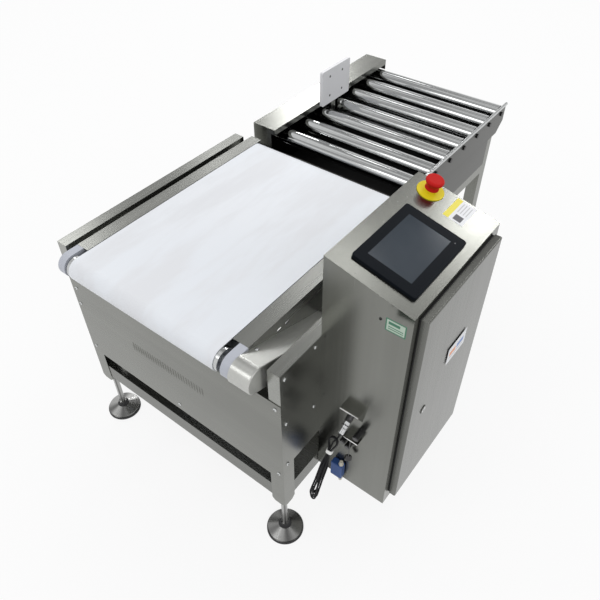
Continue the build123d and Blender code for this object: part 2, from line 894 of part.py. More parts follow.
# Rollers on fixed six-sided axles, with plastic bearing housings and screws
bearings, axles, bolts = [], [], []
inner_radius = roller_radius - roller_wall
bearing_radius = inner_radius - run_gap
for number, x in enumerate(roller_xs, start=1):
    with BuildPart() as roller:
        with BuildSketch(side(roller_near)):
            with Locations((x, roller_z)):
                Circle(roller_radius)
                Circle(inner_radius, mode=Mode.SUBTRACT)
        extrude(amount=roller_near - roller_far)
        rims = roller.edges().filter_by(GeomType.CIRCLE).sort_by(SortBy.RADIUS)[-2:]
        chamfer(rims, 0.6)
    save(roller.part, f"roller_{number}")
    with BuildPart() as axle:
        with BuildSketch(side(plate_inner_near)):
            with Locations((x, roller_z)):
                RegularPolygon(axle_flats / 2, 6, major_radius=False, rotation=30)
                Circle(bolt_radius, mode=Mode.SUBTRACT)
        extrude(amount=plate_inner_near - table_far)
    axles.append(axle.part)
    for start, end, toward in ((roller_near, roller_near + bearing_depth, 1),
                               (roller_far - bearing_depth, roller_far, -1)):
        rim = start - bearing_flange if toward > 0 else end
        with BuildPart() as bearing:
            with BuildSketch(side(start)):
                with Locations((x, roller_z)):
                    Circle(bearing_radius)
            extrude(amount=start - end)
            with BuildSketch(side(rim)):
                with Locations((x, roller_z)):
                    Circle(bearing_radius - 5)
            extrude(amount=-bearing_flange)
            with BuildSketch(side(start - bearing_flange)):
                with Locations((x, roller_z)):
                    RegularPolygon(axle_flats / 2, 6, major_radius=False, rotation=30)
            extrude(amount=-bearing_depth - 2 * bearing_flange, mode=Mode.SUBTRACT)
        bearings.append(bearing.part)
    bolts.append(
        turned(
            x,
            roller_z,
            [
                (table_near - bolt_head_height, table_near, bolt_head_radius),
                (table_near, table_near + bolt_length, bolt_radius),
            ],
        )
    )
save(group(bearings), "roller_bearings")
save(group(axles), "roller_axles")
save(group(bolts), "axle_screws")

# Pusher: twin guide rods and a rodless cylinder under the rollers, with carriage and paddle
actuator = []
for y in (plate_inner_near, plate_inner_far - end_block_thickness):
    with BuildPart() as end_plate:
        with BuildSketch(side(y)):
            with Locations((pusher_x, rod_z)):
                RectangleRounded(end_block_width, end_block_height, end_block_corner)
        extrude(amount=-end_block_thickness)
    actuator.append(end_plate.part)
rod_near = plate_inner_near + end_block_thickness
rod_far = plate_inner_far - end_block_thickness
for x, radius in (
    (pusher_x - rod_spread / 2 - rod_radius, rod_radius),
    (pusher_x + rod_spread / 2 + rod_radius, rod_radius),
    (pusher_x, barrel_radius),
):
    actuator.append(turned(x, rod_z, [(rod_near, rod_far, radius)]))
save(group(actuator), "pusher_actuator")

carriage_near = table_far - carriage_travel_gap - carriage_length
arm_near = paddle_near + paddle_thickness
arm_top = paddle_low + paddle_height - arm_paddle_drop
with BuildPart() as pusher_carriage:
    with BuildSketch(side(carriage_near)):
        with Locations((pusher_x, rod_z)):
            RectangleRounded(end_block_width, end_block_height, end_block_corner)
            Circle(barrel_radius + soft_gap, mode=Mode.SUBTRACT)
        for x in (-rod_spread / 2 - rod_radius, rod_spread / 2 + rod_radius):
            with Locations((pusher_x + x, rod_z)):
                Circle(rod_radius + run_gap, mode=Mode.SUBTRACT)
    extrude(amount=-carriage_length)
save(pusher_carriage.part, "pusher_carriage")

carriage_top = rod_z + end_block_height / 2
with BuildPart() as pusher_arm:
    with BuildSketch(side(arm_near)):
        with Locations((pusher_x, (carriage_top + arm_top) / 2)):
            RectangleRounded(arm_width, arm_top - carriage_top, arm_corner)
    extrude(amount=-arm_thickness)
save(pusher_arm.part, "pusher_arm")

with BuildPart() as paddle:
    with BuildSketch(side(paddle_near)):
        with Locations((pusher_x, paddle_low + paddle_height / 2)):
            RectangleRounded(paddle_width, paddle_height, paddle_corner)
            with GridLocations(paddle_hole_x, paddle_hole_z, 2, 2):
                Circle(paddle_hole_radius, mode=Mode.SUBTRACT)
    extrude(amount=-paddle_thickness)
    mouths = paddle.edges().filter_by(GeomType.CIRCLE).group_by(Axis.Y)[0]
    chamfer(mouths.filter_by(lambda edge: edge.radius < paddle_corner - 1), paddle_countersink)
save(paddle.part, "pusher_paddle")

# Cabinet shell with its sloped top, door opening and cut-outs
with BuildPart() as cabinet_shell:
    with BuildSketch(Plane.YZ.offset(cabinet_x)):
        with BuildLine():
            Polyline(
                (cabinet_back, cabinet_bottom),
                (cabinet_front, cabinet_bottom),
                (cabinet_front, cabinet_front_top),
                (cabinet_back, cabinet_back_top),
                close=True,
            )
        make_face()
    extrude(amount=cabinet_width)
    with BuildSketch(Plane.YZ.offset(cabinet_x + cabinet_sheet)):
        with BuildLine():
            Polyline(
                (cabinet_back, cabinet_bottom),
                (cabinet_front, cabinet_bottom),
                (cabinet_front, cabinet_front_top),
                (cabinet_back, cabinet_back_top),
                close=True,
            )
        make_face()
        offset(amount=-cabinet_sheet, kind=Kind.INTERSECTION, mode=Mode.REPLACE)
    extrude(amount=cabinet_width - 2 * cabinet_sheet, mode=Mode.SUBTRACT)
    with BuildSketch(side(cabinet_front)):
        with Locations((door_x + door_width / 2, (door_low + door_top) / 2)):
            Rectangle(door_width - 2 * opening_inset, door_height - 2 * opening_inset)
    extrude(amount=-cabinet_sheet, mode=Mode.SUBTRACT)
    with BuildSketch(on_top(screen_unit_x, screen_unit_up)):
        Rectangle(screen_unit_width - 2 * screen_back_inset, screen_unit_height - 2 * screen_back_inset)
    extrude(amount=-3 * cabinet_sheet, mode=Mode.SUBTRACT)
    with BuildSketch(on_top(stop_x, stop_up)):
        Circle(stop_hole_radius)
    extrude(amount=-3 * cabinet_sheet, mode=Mode.SUBTRACT)

# Bent hood and shelf for the connectors, welded to the cabinet's infeed side
hood_near = hood_y - hood_width / 2
hood_front = cabinet_x - hood_reach
with BuildPart() as hood:
    with BuildSketch(side(hood_near)):
        with BuildLine():
            Polyline(
                (cabinet_x, hood_top),
                (hood_front, hood_top),
                (hood_front, hood_top - hood_lip),
                (cabinet_x, hood_top - hood_height),
                close=True,
            )
        make_face()
    extrude(amount=-hood_width)
    with BuildSketch(side(hood_near + sheet)):
        with BuildLine():
            Polyline(
                (cabinet_x, hood_top - sheet),
                (hood_front + sheet, hood_top - sheet),
                (hood_front + sheet, hood_top - hood_lip),
                (cabinet_x, hood_top - hood_height + 2 * sheet),
                close=True,
            )
        make_face()
    extrude(amount=2 * sheet - hood_width, mode=Mode.SUBTRACT)
shelf_front = cabinet_x - shelf_reach
with BuildPart() as shelf:
    with BuildSketch(side(shelf_y - shelf_width / 2)):
        with BuildLine():
            Polyline(
                (cabinet_x, shelf_z),
                (shelf_front, shelf_z),
                (shelf_front, shelf_z + hood_lip),
                (shelf_front + sheet, shelf_z + hood_lip),
                (shelf_front + sheet, shelf_z + sheet),
                (cabinet_x - sheet, shelf_z + sheet),
                (cabinet_x - sheet, shelf_z + shelf_flange),
                (cabinet_x, shelf_z + shelf_flange),
                close=True,
            )
        make_face()
    extrude(amount=-shelf_width)
save(group([cabinet_shell.part, hood.part, shelf.part]), "cabinet_shell")
hood_face = degrees(atan(hood_reach / (hood_height - hood_lip)))
face_mid = (cabinet_x - hood_reach / 2, hood_y, hood_top - (hood_height + hood_lip) / 2)
face_dir = (-cos(radians(hood_face)), 0, -sin(radians(hood_face)))
face_plane = Plane(origin=face_mid, x_dir=(0, 1, 0), z_dir=face_dir)

door_mid = (door_x + door_width / 2, (door_low + door_top) / 2)
with BuildPart() as door_gasket:
    with BuildSketch(side(cabinet_front - door_gap + soft_gap)):
        with Locations(door_mid):
            for inset, mode in ((gasket_inset, Mode.ADD), (gasket_inset + gasket_width, Mode.SUBTRACT)):
                Rectangle(door_width - 2 * inset, door_height - 2 * inset, mode=mode)
    extrude(amount=-door_gap + soft_gap)
save(door_gasket.part, "door_gasket")

# Door pan with its hinge knuckles and lock ring, the hinges on the cabinet, and the lock
hinge_zs = (door_low + hinge_inset, door_top - hinge_inset - hinge_length)
with BuildPart() as door:
    with BuildSketch(side(door_front)):
        with Locations(door_mid):
            Rectangle(door_width, door_height)
    extrude(amount=-door_depth)
    fillet(door.edges().group_by(Axis.Y)[0], door_corner)
    with BuildSketch(side(door_front + door_sheet)):
        with Locations(door_mid):
            Rectangle(door_width - 2 * door_sheet, door_height - 2 * door_sheet)
    extrude(amount=-door_depth, mode=Mode.SUBTRACT)
    for z in hinge_zs:
        with BuildSketch(Plane.XY.offset(z + hinge_length / 2)):
            with Locations((hinge_x, hinge_y)):
                Circle(hinge_radius)
            with Locations((hinge_x - hinge_offset / 2, hinge_y)):
                Rectangle(hinge_offset, 4)
        extrude(amount=hinge_length / 2)
        with BuildSketch(Plane.XY.offset(z + hinge_length / 2)):
            with Locations((hinge_x, hinge_y)):
                Circle(hinge_pin_radius + run_gap)
        extrude(amount=hinge_length / 2, mode=Mode.SUBTRACT)
    with BuildSketch(side(door_front)):
        with Locations((lock_x, lock_z)):
            Circle(lock_core_radius + run_gap)
    extrude(amount=-door_sheet, mode=Mode.SUBTRACT)
with BuildPart() as lock_ring:
    with BuildSketch(side(door_front - lock_proud)):
        with Locations((lock_x, lock_z)):
            Circle(lock_radius)
            Circle(lock_core_radius + run_gap, mode=Mode.SUBTRACT)
    extrude(amount=-lock_proud)
    fillet(lock_ring.edges().filter_by(GeomType.CIRCLE).group_by(Axis.Y)[0].sort_by(SortBy.RADIUS)[-1], 1)
save(group([door.part, lock_ring.part]), "cabinet_door")

hinges = []
for z in hinge_zs:
    with BuildPart() as hinge:
        with BuildSketch(Plane.XY.offset(z)):
            with Locations((hinge_x, hinge_y)):
                Circle(hinge_radius)
            with Locations((hinge_x + hinge_radius / 2 + 1, (hinge_y + cabinet_front) / 2)):
                Rectangle(hinge_radius + 2, cabinet_front - hinge_y)
        extrude(amount=hinge_length / 2 - soft_gap)
        with BuildSketch(Plane.XY.offset(z)):
            with Locations((hinge_x, hinge_y)):
                Circle(hinge_pin_radius)
        extrude(amount=hinge_length)
    hinges.append(hinge.part)
save(group(hinges), "cabinet_hinges")

cam_back = cabinet_front + cabinet_sheet + 3
with BuildPart() as door_lock:
    with BuildSketch(side(door_front - lock_proud)):
        with Locations((lock_x, lock_z)):
            Circle(lock_core_radius)
    extrude(amount=door_front - lock_proud - cam_back)
    with BuildSketch(side(cam_back)):
        with Locations((lock_x, lock_z + cam_length / 2)):
            Rectangle(cam_width, cam_length)
        with Locations((lock_x, lock_z)):
            Circle(cam_width / 2 + 2)
    extrude(amount=-cam_thickness)
    with BuildSketch(side(door_front - lock_proud)):
        with Locations((lock_x, lock_z)):
                Rectangle(lock_slot_width, 2 * lock_core_radius - lock_slot_width)
    extrude(amount=-lock_slot_depth, mode=Mode.SUBTRACT)
save(door_lock.part, "door_lock")

# Inside the cabinet: a mounting plate on spacers, and the devices on it
plate_far = cabinet_back - cabinet_sheet - plate_standoff
plate_near = plate_far - plate_thickness
plate_width = cabinet_width - 2 * plate_margin
plate_low = cabinet_bottom + plate_margin
plate_high = cabinet_front_top - plate_top_margin
plate_mid = (cabinet_x + cabinet_width / 2, (plate_low + plate_high) / 2)
with BuildPart() as mounting_plate:
    with BuildSketch(side(plate_near)):
        with Locations(plate_mid):
            Rectangle(plate_width, plate_high - plate_low)
    extrude(amount=-plate_thickness)
    with BuildSketch(side(plate_far)):
        with Locations(plate_mid):
            reach_x = plate_width - 2 * spacer_inset
            with GridLocations(reach_x, plate_high - plate_low - 2 * spacer_inset, 2, 2):
                Circle(spacer_radius)
    extrude(amount=-plate_standoff)
save(mounting_plate.part, "mounting_plate")

# Each device has its place and size as shares of the plate, and its depth as a share of the deepest
devices = []
plate_height = plate_high - plate_low
for across, up, width, height, depth in (
    (-0.26, 0.3, 0.36, 0.22, 0.73),
    (0.21, 0.3, 0.43, 0.27, 0.46),
    (-0.23, -0.05, 0.4, 0.25, 1.0),
    (0.25, -0.04, 0.23, 0.2, 0.8),
    (0.0, -0.34, 0.83, 0.08, 0.56),
):
    with BuildPart() as device:
        with BuildSketch(side(plate_near)):
            with Locations((plate_mid[0] + across * plate_width, plate_mid[1] + up * plate_height)):
                RectangleRounded(width * plate_width, height * plate_height, device_corner)
        extrude(amount=depth * device_depth)
        front = device.faces().sort_by(Axis.Y)[0]
        chamfer(front.edges(), device_corner / 2)
    devices.append(device.part)
save(group(devices), "control_devices")

# Operator panel and stop button on the sloped top
panel_plane = on_top(screen_unit_x, screen_unit_up)
top_normal = Axis((0, 0, 0), tuple(panel_plane.z_dir))
with BuildPart() as screen_bezel:
    with BuildSketch(panel_plane):
        RectangleRounded(screen_unit_width, screen_unit_height, screen_unit_corner)
    extrude(amount=screen_unit_proud)
    rim = screen_bezel.faces().sort_by(top_normal)[-1].edges()
    fillet(rim, screen_unit_round)
    back_inset = 2 * (screen_back_inset + screen_cut_gap)
    with BuildSketch(panel_plane):
        Rectangle(screen_unit_width - back_inset, screen_unit_height - back_inset)
    extrude(amount=-screen_back_depth)
    with BuildSketch(panel_plane.offset(screen_unit_proud - screen_thickness)):
        with Locations((0, screen_up)):
            Rectangle(screen_width, screen_height)
    extrude(amount=screen_thickness, mode=Mode.SUBTRACT)
save(screen_bezel.part, "screen_bezel")
with BuildPart() as screen_glass:
    with BuildSketch(panel_plane.offset(screen_unit_proud - screen_thickness)):
        with Locations((0, screen_up)):
            Rectangle(screen_width, screen_height)
    extrude(amount=screen_thickness - screen_sunk)
save(screen_glass.part, "screen_glass")

stop_plane = on_top(stop_x, stop_up)
with BuildPart() as stop_base:
    with BuildSketch(stop_plane):
        Circle(stop_plate_radius)
    extrude(amount=stop_plate_thickness)
    with BuildSketch(stop_plane.offset(stop_plate_thickness)):
        Circle(stop_collar_radius)
    extrude(amount=stop_collar_height)
    with BuildSketch(stop_plane):
        Circle(stop_hole_radius - screen_cut_gap)
    extrude(amount=-stop_neck_depth)
    with BuildSketch(stop_plane.offset(-stop_neck_depth)):
        Rectangle(stop_body_size, stop_body_size)
    extrude(amount=-stop_body_depth)
    with BuildSketch(stop_plane.offset(stop_plate_thickness + stop_collar_height)):
        Circle(stop_stem_radius + run_gap)
    bore_depth = stop_plate_thickness + stop_collar_height + stop_stem_depth + 2 * stop_travel
    extrude(amount=-bore_depth, mode=Mode.SUBTRACT)
save(stop_base.part, "stop_base")

# Mushroom head, hollow below so that it slides over the collar, and its stem
head_top = stop_head_low + stop_head_height
rim_low = head_top - stop_rim_height
bore_top = stop_head_low + stop_bore_depth
section_normal = Vector(1, 0, 0).cross(Vector(*stop_plane.z_dir))
stop_section = Plane(origin=stop_plane.origin, x_dir=(1, 0, 0), z_dir=tuple(section_normal))
with BuildPart() as stop_button:
    with BuildSketch(stop_section):
        with BuildLine():
            under = Polyline(
                (stop_waist_radius, stop_head_low + stop_waist_height),
                (stop_mouth_radius, stop_head_low),
                (stop_bore_radius, stop_head_low),
                (stop_bore_radius, bore_top),
                (stop_stem_radius, bore_top),
                (stop_stem_radius, -stop_stem_depth),
                (0, -stop_stem_depth),
                (0, head_top),
                (stop_head_radius - stop_rim_width, head_top),
            )
            rim = TangentArc(under @ 1, (stop_head_radius, rim_low), tangent=(1, 0))
            Spline(rim @ 1, under @ 0, tangents=(rim % 1, (0, -1)))
        make_face()
    revolve(axis=Axis(stop_plane.origin, stop_plane.z_dir))
save(stop_button.part, "stop_button")

# Connectors on the cabinet's infeed side: one in use, three capped, and a dust cap on its strap
with BuildPart() as socket:
    with BuildSketch(face_plane):
        Circle(socket_radius)
    extrude(amount=socket_length)
sockets = [socket.part]
# Each cap has its place from the shelf's middle in cap radii, and its length as a share
for across, up, share in ((-2.0, 4.0, 1.0), (2.5, -1.9, 1.0), (1.2, -4.8, 0.7)):
    cap_place = (cabinet_x, shelf_y + across * cap_radius, shelf_z + up * cap_radius)
    plane = Plane(origin=cap_place, x_dir=(0, 1, 0), z_dir=(-1, 0, 0))
    with BuildPart() as capped:
        with BuildSketch(plane):
            RegularPolygon(cap_radius + cap_round, 6)
        extrude(amount=cap_seat)
        with BuildSketch(plane.offset(cap_seat)):
            Circle(cap_radius)
        extrude(amount=share * cap_length)
        chamfer(capped.faces().sort_by(Axis.X)[0].edges(), cap_round)
    sockets.append(capped.part)
strap_top = Vector(cabinet_x - shelf_reach + strap_radius, shelf_y, shelf_z)
cap_middle = strap_top + Vector(dust_cap_radius / 2, dust_cap_radius / 2, -strap_drop)
with BuildPart() as dust_cap:
    with BuildSketch(Plane(origin=cap_middle, x_dir=(0, 0, 1), z_dir=(-1, -0.5, 0.4))):
        Circle(dust_cap_radius)
    extrude(amount=dust_cap_length / 2, both=True)
    chamfer(dust_cap.edges(), cap_round)
with BuildPart() as strap:
    with BuildLine() as strap_path:
        Spline(strap_top, (strap_top + cap_middle) / 2 - Vector(strap_radius, 0, 0), cap_middle)
    with BuildSketch(Plane(origin=strap_top, z_dir=strap_path.edge() % 0)):
        Circle(strap_radius)
    sweep()
    add(dust_cap.part, mode=Mode.SUBTRACT)
sockets += [dust_cap.part, strap.part]
save(group(sockets), "signal_sockets")

# Plug, lead, hank and tie
plug_start = face_plane.offset(socket_length)
with BuildPart() as lead_plug:
    with BuildSketch(plug_start):
        Circle(plug_radius)
    extrude(amount=plug_nut_length)
    with BuildSketch(plug_start.offset(plug_nut_length)):
        Circle(plug_radius - plug_step)
    extrude(amount=plug_barrel_length)
    with BuildSketch(plug_start.offset(plug_nut_length + plug_barrel_length)):
        Circle(plug_radius - plug_step)
    with BuildSketch(plug_start.offset(plug_length)):
        Circle(lead_radius + plug_step)
    loft()
save(lead_plug.part, "lead_plug")

lead_exit = plug_start.offset(plug_length).origin
hank_top = lead_exit + Vector(-hank_out, hank_aside, -hank_drop)
lean, swing = radians(hank_lean), radians(hank_swing)
hank_dir = Vector(-sin(lean) * cos(swing), sin(lean) * sin(swing), -cos(lean))
lead_points = [
    lead_exit,
    lead_exit + Vector(*face_dir) * lead_straight,
    hank_top - hank_dir * lead_straight,
    hank_top,
]


def bend_radii(points):
    """Radius at each inner point: 0.45 of the shorter run over the tangent of half the turn."""
    radii = []
    for before, here, after in zip(points, points[1:], points[2:]):
        turn = (here - before).get_angle(after - here)
        shorter = min((here - before).length, (after - here).length)
        radii.append(0.45 * shorter / tan(radians(turn / 2)))
    return radii


lead_radii = bend_radii(lead_points)
print("lead radii", [round(radius, 1) for radius in lead_radii])
with BuildPart() as signal_lead:
    with BuildLine() as lead_path:
        FilletPolyline(*lead_points, radius=lead_radii)
    with BuildSketch(Plane(origin=lead_exit, z_dir=face_dir)):
        Circle(lead_radius)
    sweep()
lead_length = sum(edge.length for edge in lead_path.edges())
print("lead volume", signal_lead.part.volume, "section by length", pi * lead_radius**2 * lead_length)
save(signal_lead.part, "signal_lead")

# The hank's sections: how far down it, and its width and depth as shares of the widest
hank_plane = Plane(origin=hank_top, x_dir=(0, 1, 0), z_dir=tuple(hank_dir))
hank_sections = (
    (0.0, 0.38, 0.55),
    (0.06, 0.45, 0.68),
    (0.17, 0.45, 0.68),
    (0.28, 0.88, 0.94),
    (0.48, 1.0, 1.0),
    (0.72, 0.88, 0.94),
    (0.96, 0.58, 0.75),
    (1.0, 0.4, 0.55),
)
with BuildPart() as lead_hank:
    for share, width, depth in hank_sections:
        with BuildSketch(hank_plane.offset(share * hank_length)):
            RectangleRounded(width * hank_width, depth * hank_depth, hank_corner)
    loft(ruled=True)
save(lead_hank.part, "lead_hank")

with BuildPart() as lead_tie:
    with BuildSketch(hank_plane.offset(tie_start)):
        _, neck_width, neck_depth = hank_sections[1]
        RectangleRounded(
            neck_width * hank_width + 2 * tie_thickness,
            neck_depth * hank_depth + 2 * tie_thickness,
            hank_corner + tie_thickness / 2,
        )
        RectangleRounded(
            neck_width * hank_width + 2 * run_gap,
            neck_depth * hank_depth + 2 * run_gap,
            hank_corner,
            mode=Mode.SUBTRACT,
        )
    extrude(amount=tie_width)
save(lead_tie.part, "lead_tie")

# Air unit under the sockets: a bracket plate, a valve block and its two fittings
air_face = cabinet_x - air_bracket_thickness
with BuildPart() as air_bracket:
    with BuildSketch(Plane.YZ.offset(air_face)):
        with Locations((air_y, air_z)):
            Rectangle(air_width - 2 * air_bracket_inset, air_height - 2 * air_bracket_inset)
    extrude(amount=air_bracket_thickness)
with BuildPart() as air_block:
    with BuildSketch(Plane.YZ.offset(air_face - air_depth)):
        with Locations((air_y, air_z)):
            RectangleRounded(air_width, air_height, air_corner)
    extrude(amount=air_depth)
    chamfer(air_block.faces().sort_by(Axis.X)[0].edges(), air_corner / 2)
air_pieces = [air_bracket.part, air_block.part]
for z, toward in ((air_z + air_height / 2, 1), (air_z - air_height / 2, -1)):
    with BuildPart() as air_fitting:
        with BuildSketch(Plane.XY.offset(z)):
            with Locations((air_face - air_depth / 2, air_y - air_fitting_y)):
                RegularPolygon(air_fitting_flats / 2, 6, major_radius=False)
        extrude(amount=toward * air_nut_height)
        with BuildSketch(Plane.XY.offset(z + toward * air_nut_height)):
            with Locations((air_face - air_depth / 2, air_y - air_fitting_y)):
                Circle(air_tube_radius)
        extrude(amount=toward * air_tube_length)
    air_pieces.append(air_fitting.part)
save(group(air_pieces), "air_unit")
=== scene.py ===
"""Looks of a checkweigher: brushed sheet steel, a white belt, bright rollers and a control cabinet.

Lengths are metres in the part's own frame: X runs with the goods, Y away from the operator, Z up.
Tuples of sizes and places in the sub-assemblies hold millimetres, as the part's source does.
"""
import logging
import math
from dataclasses import dataclass
from enum import Enum

import bmesh
import bpy
import numpy as np
from mathutils import Matrix, Vector


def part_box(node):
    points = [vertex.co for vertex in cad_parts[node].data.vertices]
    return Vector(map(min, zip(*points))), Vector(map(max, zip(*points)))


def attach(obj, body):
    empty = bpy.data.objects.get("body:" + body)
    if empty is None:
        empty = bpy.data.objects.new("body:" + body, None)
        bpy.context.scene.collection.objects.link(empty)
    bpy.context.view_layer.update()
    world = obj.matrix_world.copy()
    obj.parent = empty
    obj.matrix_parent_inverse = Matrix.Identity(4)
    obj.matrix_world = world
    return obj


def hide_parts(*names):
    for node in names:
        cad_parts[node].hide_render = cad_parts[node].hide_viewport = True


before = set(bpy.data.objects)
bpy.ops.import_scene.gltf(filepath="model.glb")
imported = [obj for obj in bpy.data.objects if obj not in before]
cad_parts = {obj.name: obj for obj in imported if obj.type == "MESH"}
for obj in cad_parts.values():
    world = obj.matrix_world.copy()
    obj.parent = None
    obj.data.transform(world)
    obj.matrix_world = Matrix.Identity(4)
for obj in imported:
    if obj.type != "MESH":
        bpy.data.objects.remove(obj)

log = logging.getLogger("checkweigher")
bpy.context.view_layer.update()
MM = 0.001
MACHINE = "machine"
SHARP_ANGLE = math.radians(32)
Colour = tuple[float, float, float]

# Sockets of the Mix node for colours, which share their names with its other kinds.
MIX_FIRST, MIX_SECOND, MIX_COLOUR = 6, 7, 2
# A noise scale over this one runs across the grain.
ACROSS_OVER = 100


def mm(*values: float) -> np.ndarray:
    """Millimetres as an array of metres."""
    return np.array(values, float) * MM


class Along(Enum):
    """Direction of a brushed or turned grain, as noise scales along X, Y and Z."""

    X = (2.2, 170.0, 170.0)
    Y = (170.0, 2.2, 170.0)
    Z = (170.0, 170.0, 2.2)
    RINGS_Y = (12.0, 1300.0, 12.0)
    RINGS_Z = (12.0, 12.0, 1300.0)


class Wire:
    """A shader value: one output socket, with operators that add Math nodes."""

    def __init__(self, graph: "Graph", socket: bpy.types.NodeSocket) -> None:
        """Keeps the graph and the socket."""
        self.graph = graph
        self.socket = socket

    def math(self, operation: str, *values: "Wire | float") -> "Wire":
        """Result of a Math node on this value and the others."""
        return self.graph.math(operation, self, *values)

    def __add__(self, other: "Wire | float") -> "Wire":
        """Sum."""
        return self.math("ADD", other)

    def __radd__(self, other: float) -> "Wire":
        """Sum with a number on the left."""
        return self.graph.math("ADD", other, self)

    def __sub__(self, other: "Wire | float") -> "Wire":
        """Difference."""
        return self.math("SUBTRACT", other)

    def __rsub__(self, other: float) -> "Wire":
        """Difference from a number on the left, so that 1 - mask works."""
        return self.graph.math("SUBTRACT", other, self)

    def __mul__(self, other: "Wire | float") -> "Wire":
        """Product."""
        return self.math("MULTIPLY", other)

    def __rmul__(self, other: float) -> "Wire":
        """Product with a number on the left."""
        return self.graph.math("MULTIPLY", other, self)

    def above(self, level: float) -> "Wire":
        """1 where the value is over the level, else 0."""
        return self.math("GREATER_THAN", level)

    def below(self, level: float) -> "Wire":
        """1 where the value is under the level, else 0."""
        return self.math("LESS_THAN", level)

    def between(self, low: float, high: float) -> "Wire":
        """1 where the value lies between the two levels, else 0."""
        return self.above(low) * self.below(high)

    def ramp(self, low: float, high: float) -> "Wire":
        """0 at the low level, 1 at the high one and a smooth step between them.

        Args:
            low: Level where the step starts.
            high: Level where it ends.

        Returns:
            The step.
        """
        node = self.graph.node(
            "ShaderNodeMapRange",
            {"interpolation_type": "SMOOTHSTEP"},
            {"Value": self, "From Min": low, "From Max": high},
        )
        return self.graph.wire(node)


class Graph:
    """Node tree of one material or of the world."""

    def __init__(self, tree: bpy.types.NodeTree) -> None:
        """Takes a node tree and empties it."""
        self.tree = tree
        tree.nodes.clear()

    def node(
        self, kind: str, settings: dict | None = None, sockets: dict | None = None
    ) -> bpy.types.Node:
        """A new node with its settings made first, and then the values or links of its sockets.

        Args:
            kind: The node's type.
            settings: Properties by name.
            sockets: Values or wires by the socket's name or number.

        Returns:
            The node.
        """
        made = self.tree.nodes.new(kind)
        for name, value in (settings or {}).items():
            setattr(made, name, value)
        for name, value in (sockets or {}).items():
            if isinstance(value, Wire):
                self.tree.links.new(value.socket, made.inputs[name])
            else:
                made.inputs[name].default_value = value
        return made

    def wire(self, node: bpy.types.Node, output: int | str = 0) -> Wire:
        """One output of a node as a wire."""
        return Wire(self, node.outputs[output])

    def math(self, operation: str, *values: Wire | float) -> Wire:
        """Output of a Math node on the given values."""
        sockets = dict(enumerate(values))
        return self.wire(self.node("ShaderNodeMath", {"operation": operation}, sockets))

    def coordinates(self, scale: tuple[float, float, float] = (1.0, 1.0, 1.0)) -> Wire:
        """Object coordinates.

        Args:
            scale: What X, Y and Z are multiplied by.

        Returns:
            The coordinates as a vector.
        """
        place = self.wire(self.node("ShaderNodeTexCoord"), "Object")
        if scale == (1.0, 1.0, 1.0):
            return place
        return self.wire(self.node("ShaderNodeMapping", None, {"Vector": place, "Scale": scale}))

    def axes(self, vector: Wire) -> tuple[Wire, Wire, Wire]:
        """The three parts of a vector."""
        split = self.node("ShaderNodeSeparateXYZ", None, {"Vector": vector})
        return self.wire(split, 0), self.wire(split, 1), self.wire(split, 2)

    def noise(self, vector: Wire, scale: float, detail: float = 2.0, rough: float = 0.5) -> Wire:
        """Soft noise around 0.5."""
        sockets = {"Vector": vector, "Scale": scale, "Detail": detail, "Roughness": rough}
        return self.wire(self.node("ShaderNodeTexNoise", None, sockets), "Fac")

    def blend(self, factor: Wire | float, first: Wire | Colour, second: Wire | Colour) -> Wire:
        """Colour between two colours.

        Args:
            factor: 0 for the first colour, 1 for the second.
            first: Colour or wire.
            second: Colour or wire.

        Returns:
            The mixed colour.
        """
        ends = [c if isinstance(c, Wire) else (*c, 1.0) for c in (first, second)]
        sockets = {"Factor": factor, MIX_FIRST: ends[0], MIX_SECOND: ends[1]}
        return self.wire(self.node("ShaderNodeMix", {"data_type": "RGBA"}, sockets), MIX_COLOUR)

    def bump(self, height: Wire, depth: float, strength: float = 1.0) -> Wire:
        """Normal of a surface whose relief is the height times the depth in metres."""
        sockets = {"Height": height, "Distance": depth, "Strength": strength}
        return self.wire(self.node("ShaderNodeBump", None, sockets))

    def principled(self, sockets: dict) -> None:
        """Ends the tree in a Principled shader with these sockets."""
        shader = self.node("ShaderNodeBsdfPrincipled", None, sockets)
        self.node("ShaderNodeOutputMaterial", None, {"Surface": self.wire(shader)})


def shade(colour: Colour, share: float) -> Colour:
    """The colour times a share, with no channel over 1."""
    return tuple(min(channel * share, 1.0) for channel in colour)


@dataclass(frozen=True)
class Finish:
    """A surface finish; each kind says how it is painted."""

    name: str
    colour: Colour
    roughness: float = 0.4

    def material(self) -> bpy.types.Material:
        """The finish as a material, made the first time it is asked for.

        Returns:
            The material.
        """
        known = bpy.data.materials.get(self.name)
        if known:
            return known
        made = bpy.data.materials.new(self.name)
        made.use_nodes = True
        graph = Graph(made.node_tree)
        graph.principled(self.paint(graph))
        return made

    def paint(self, graph: Graph) -> dict:
        """Sockets of the shader for this finish."""
        raise NotImplementedError


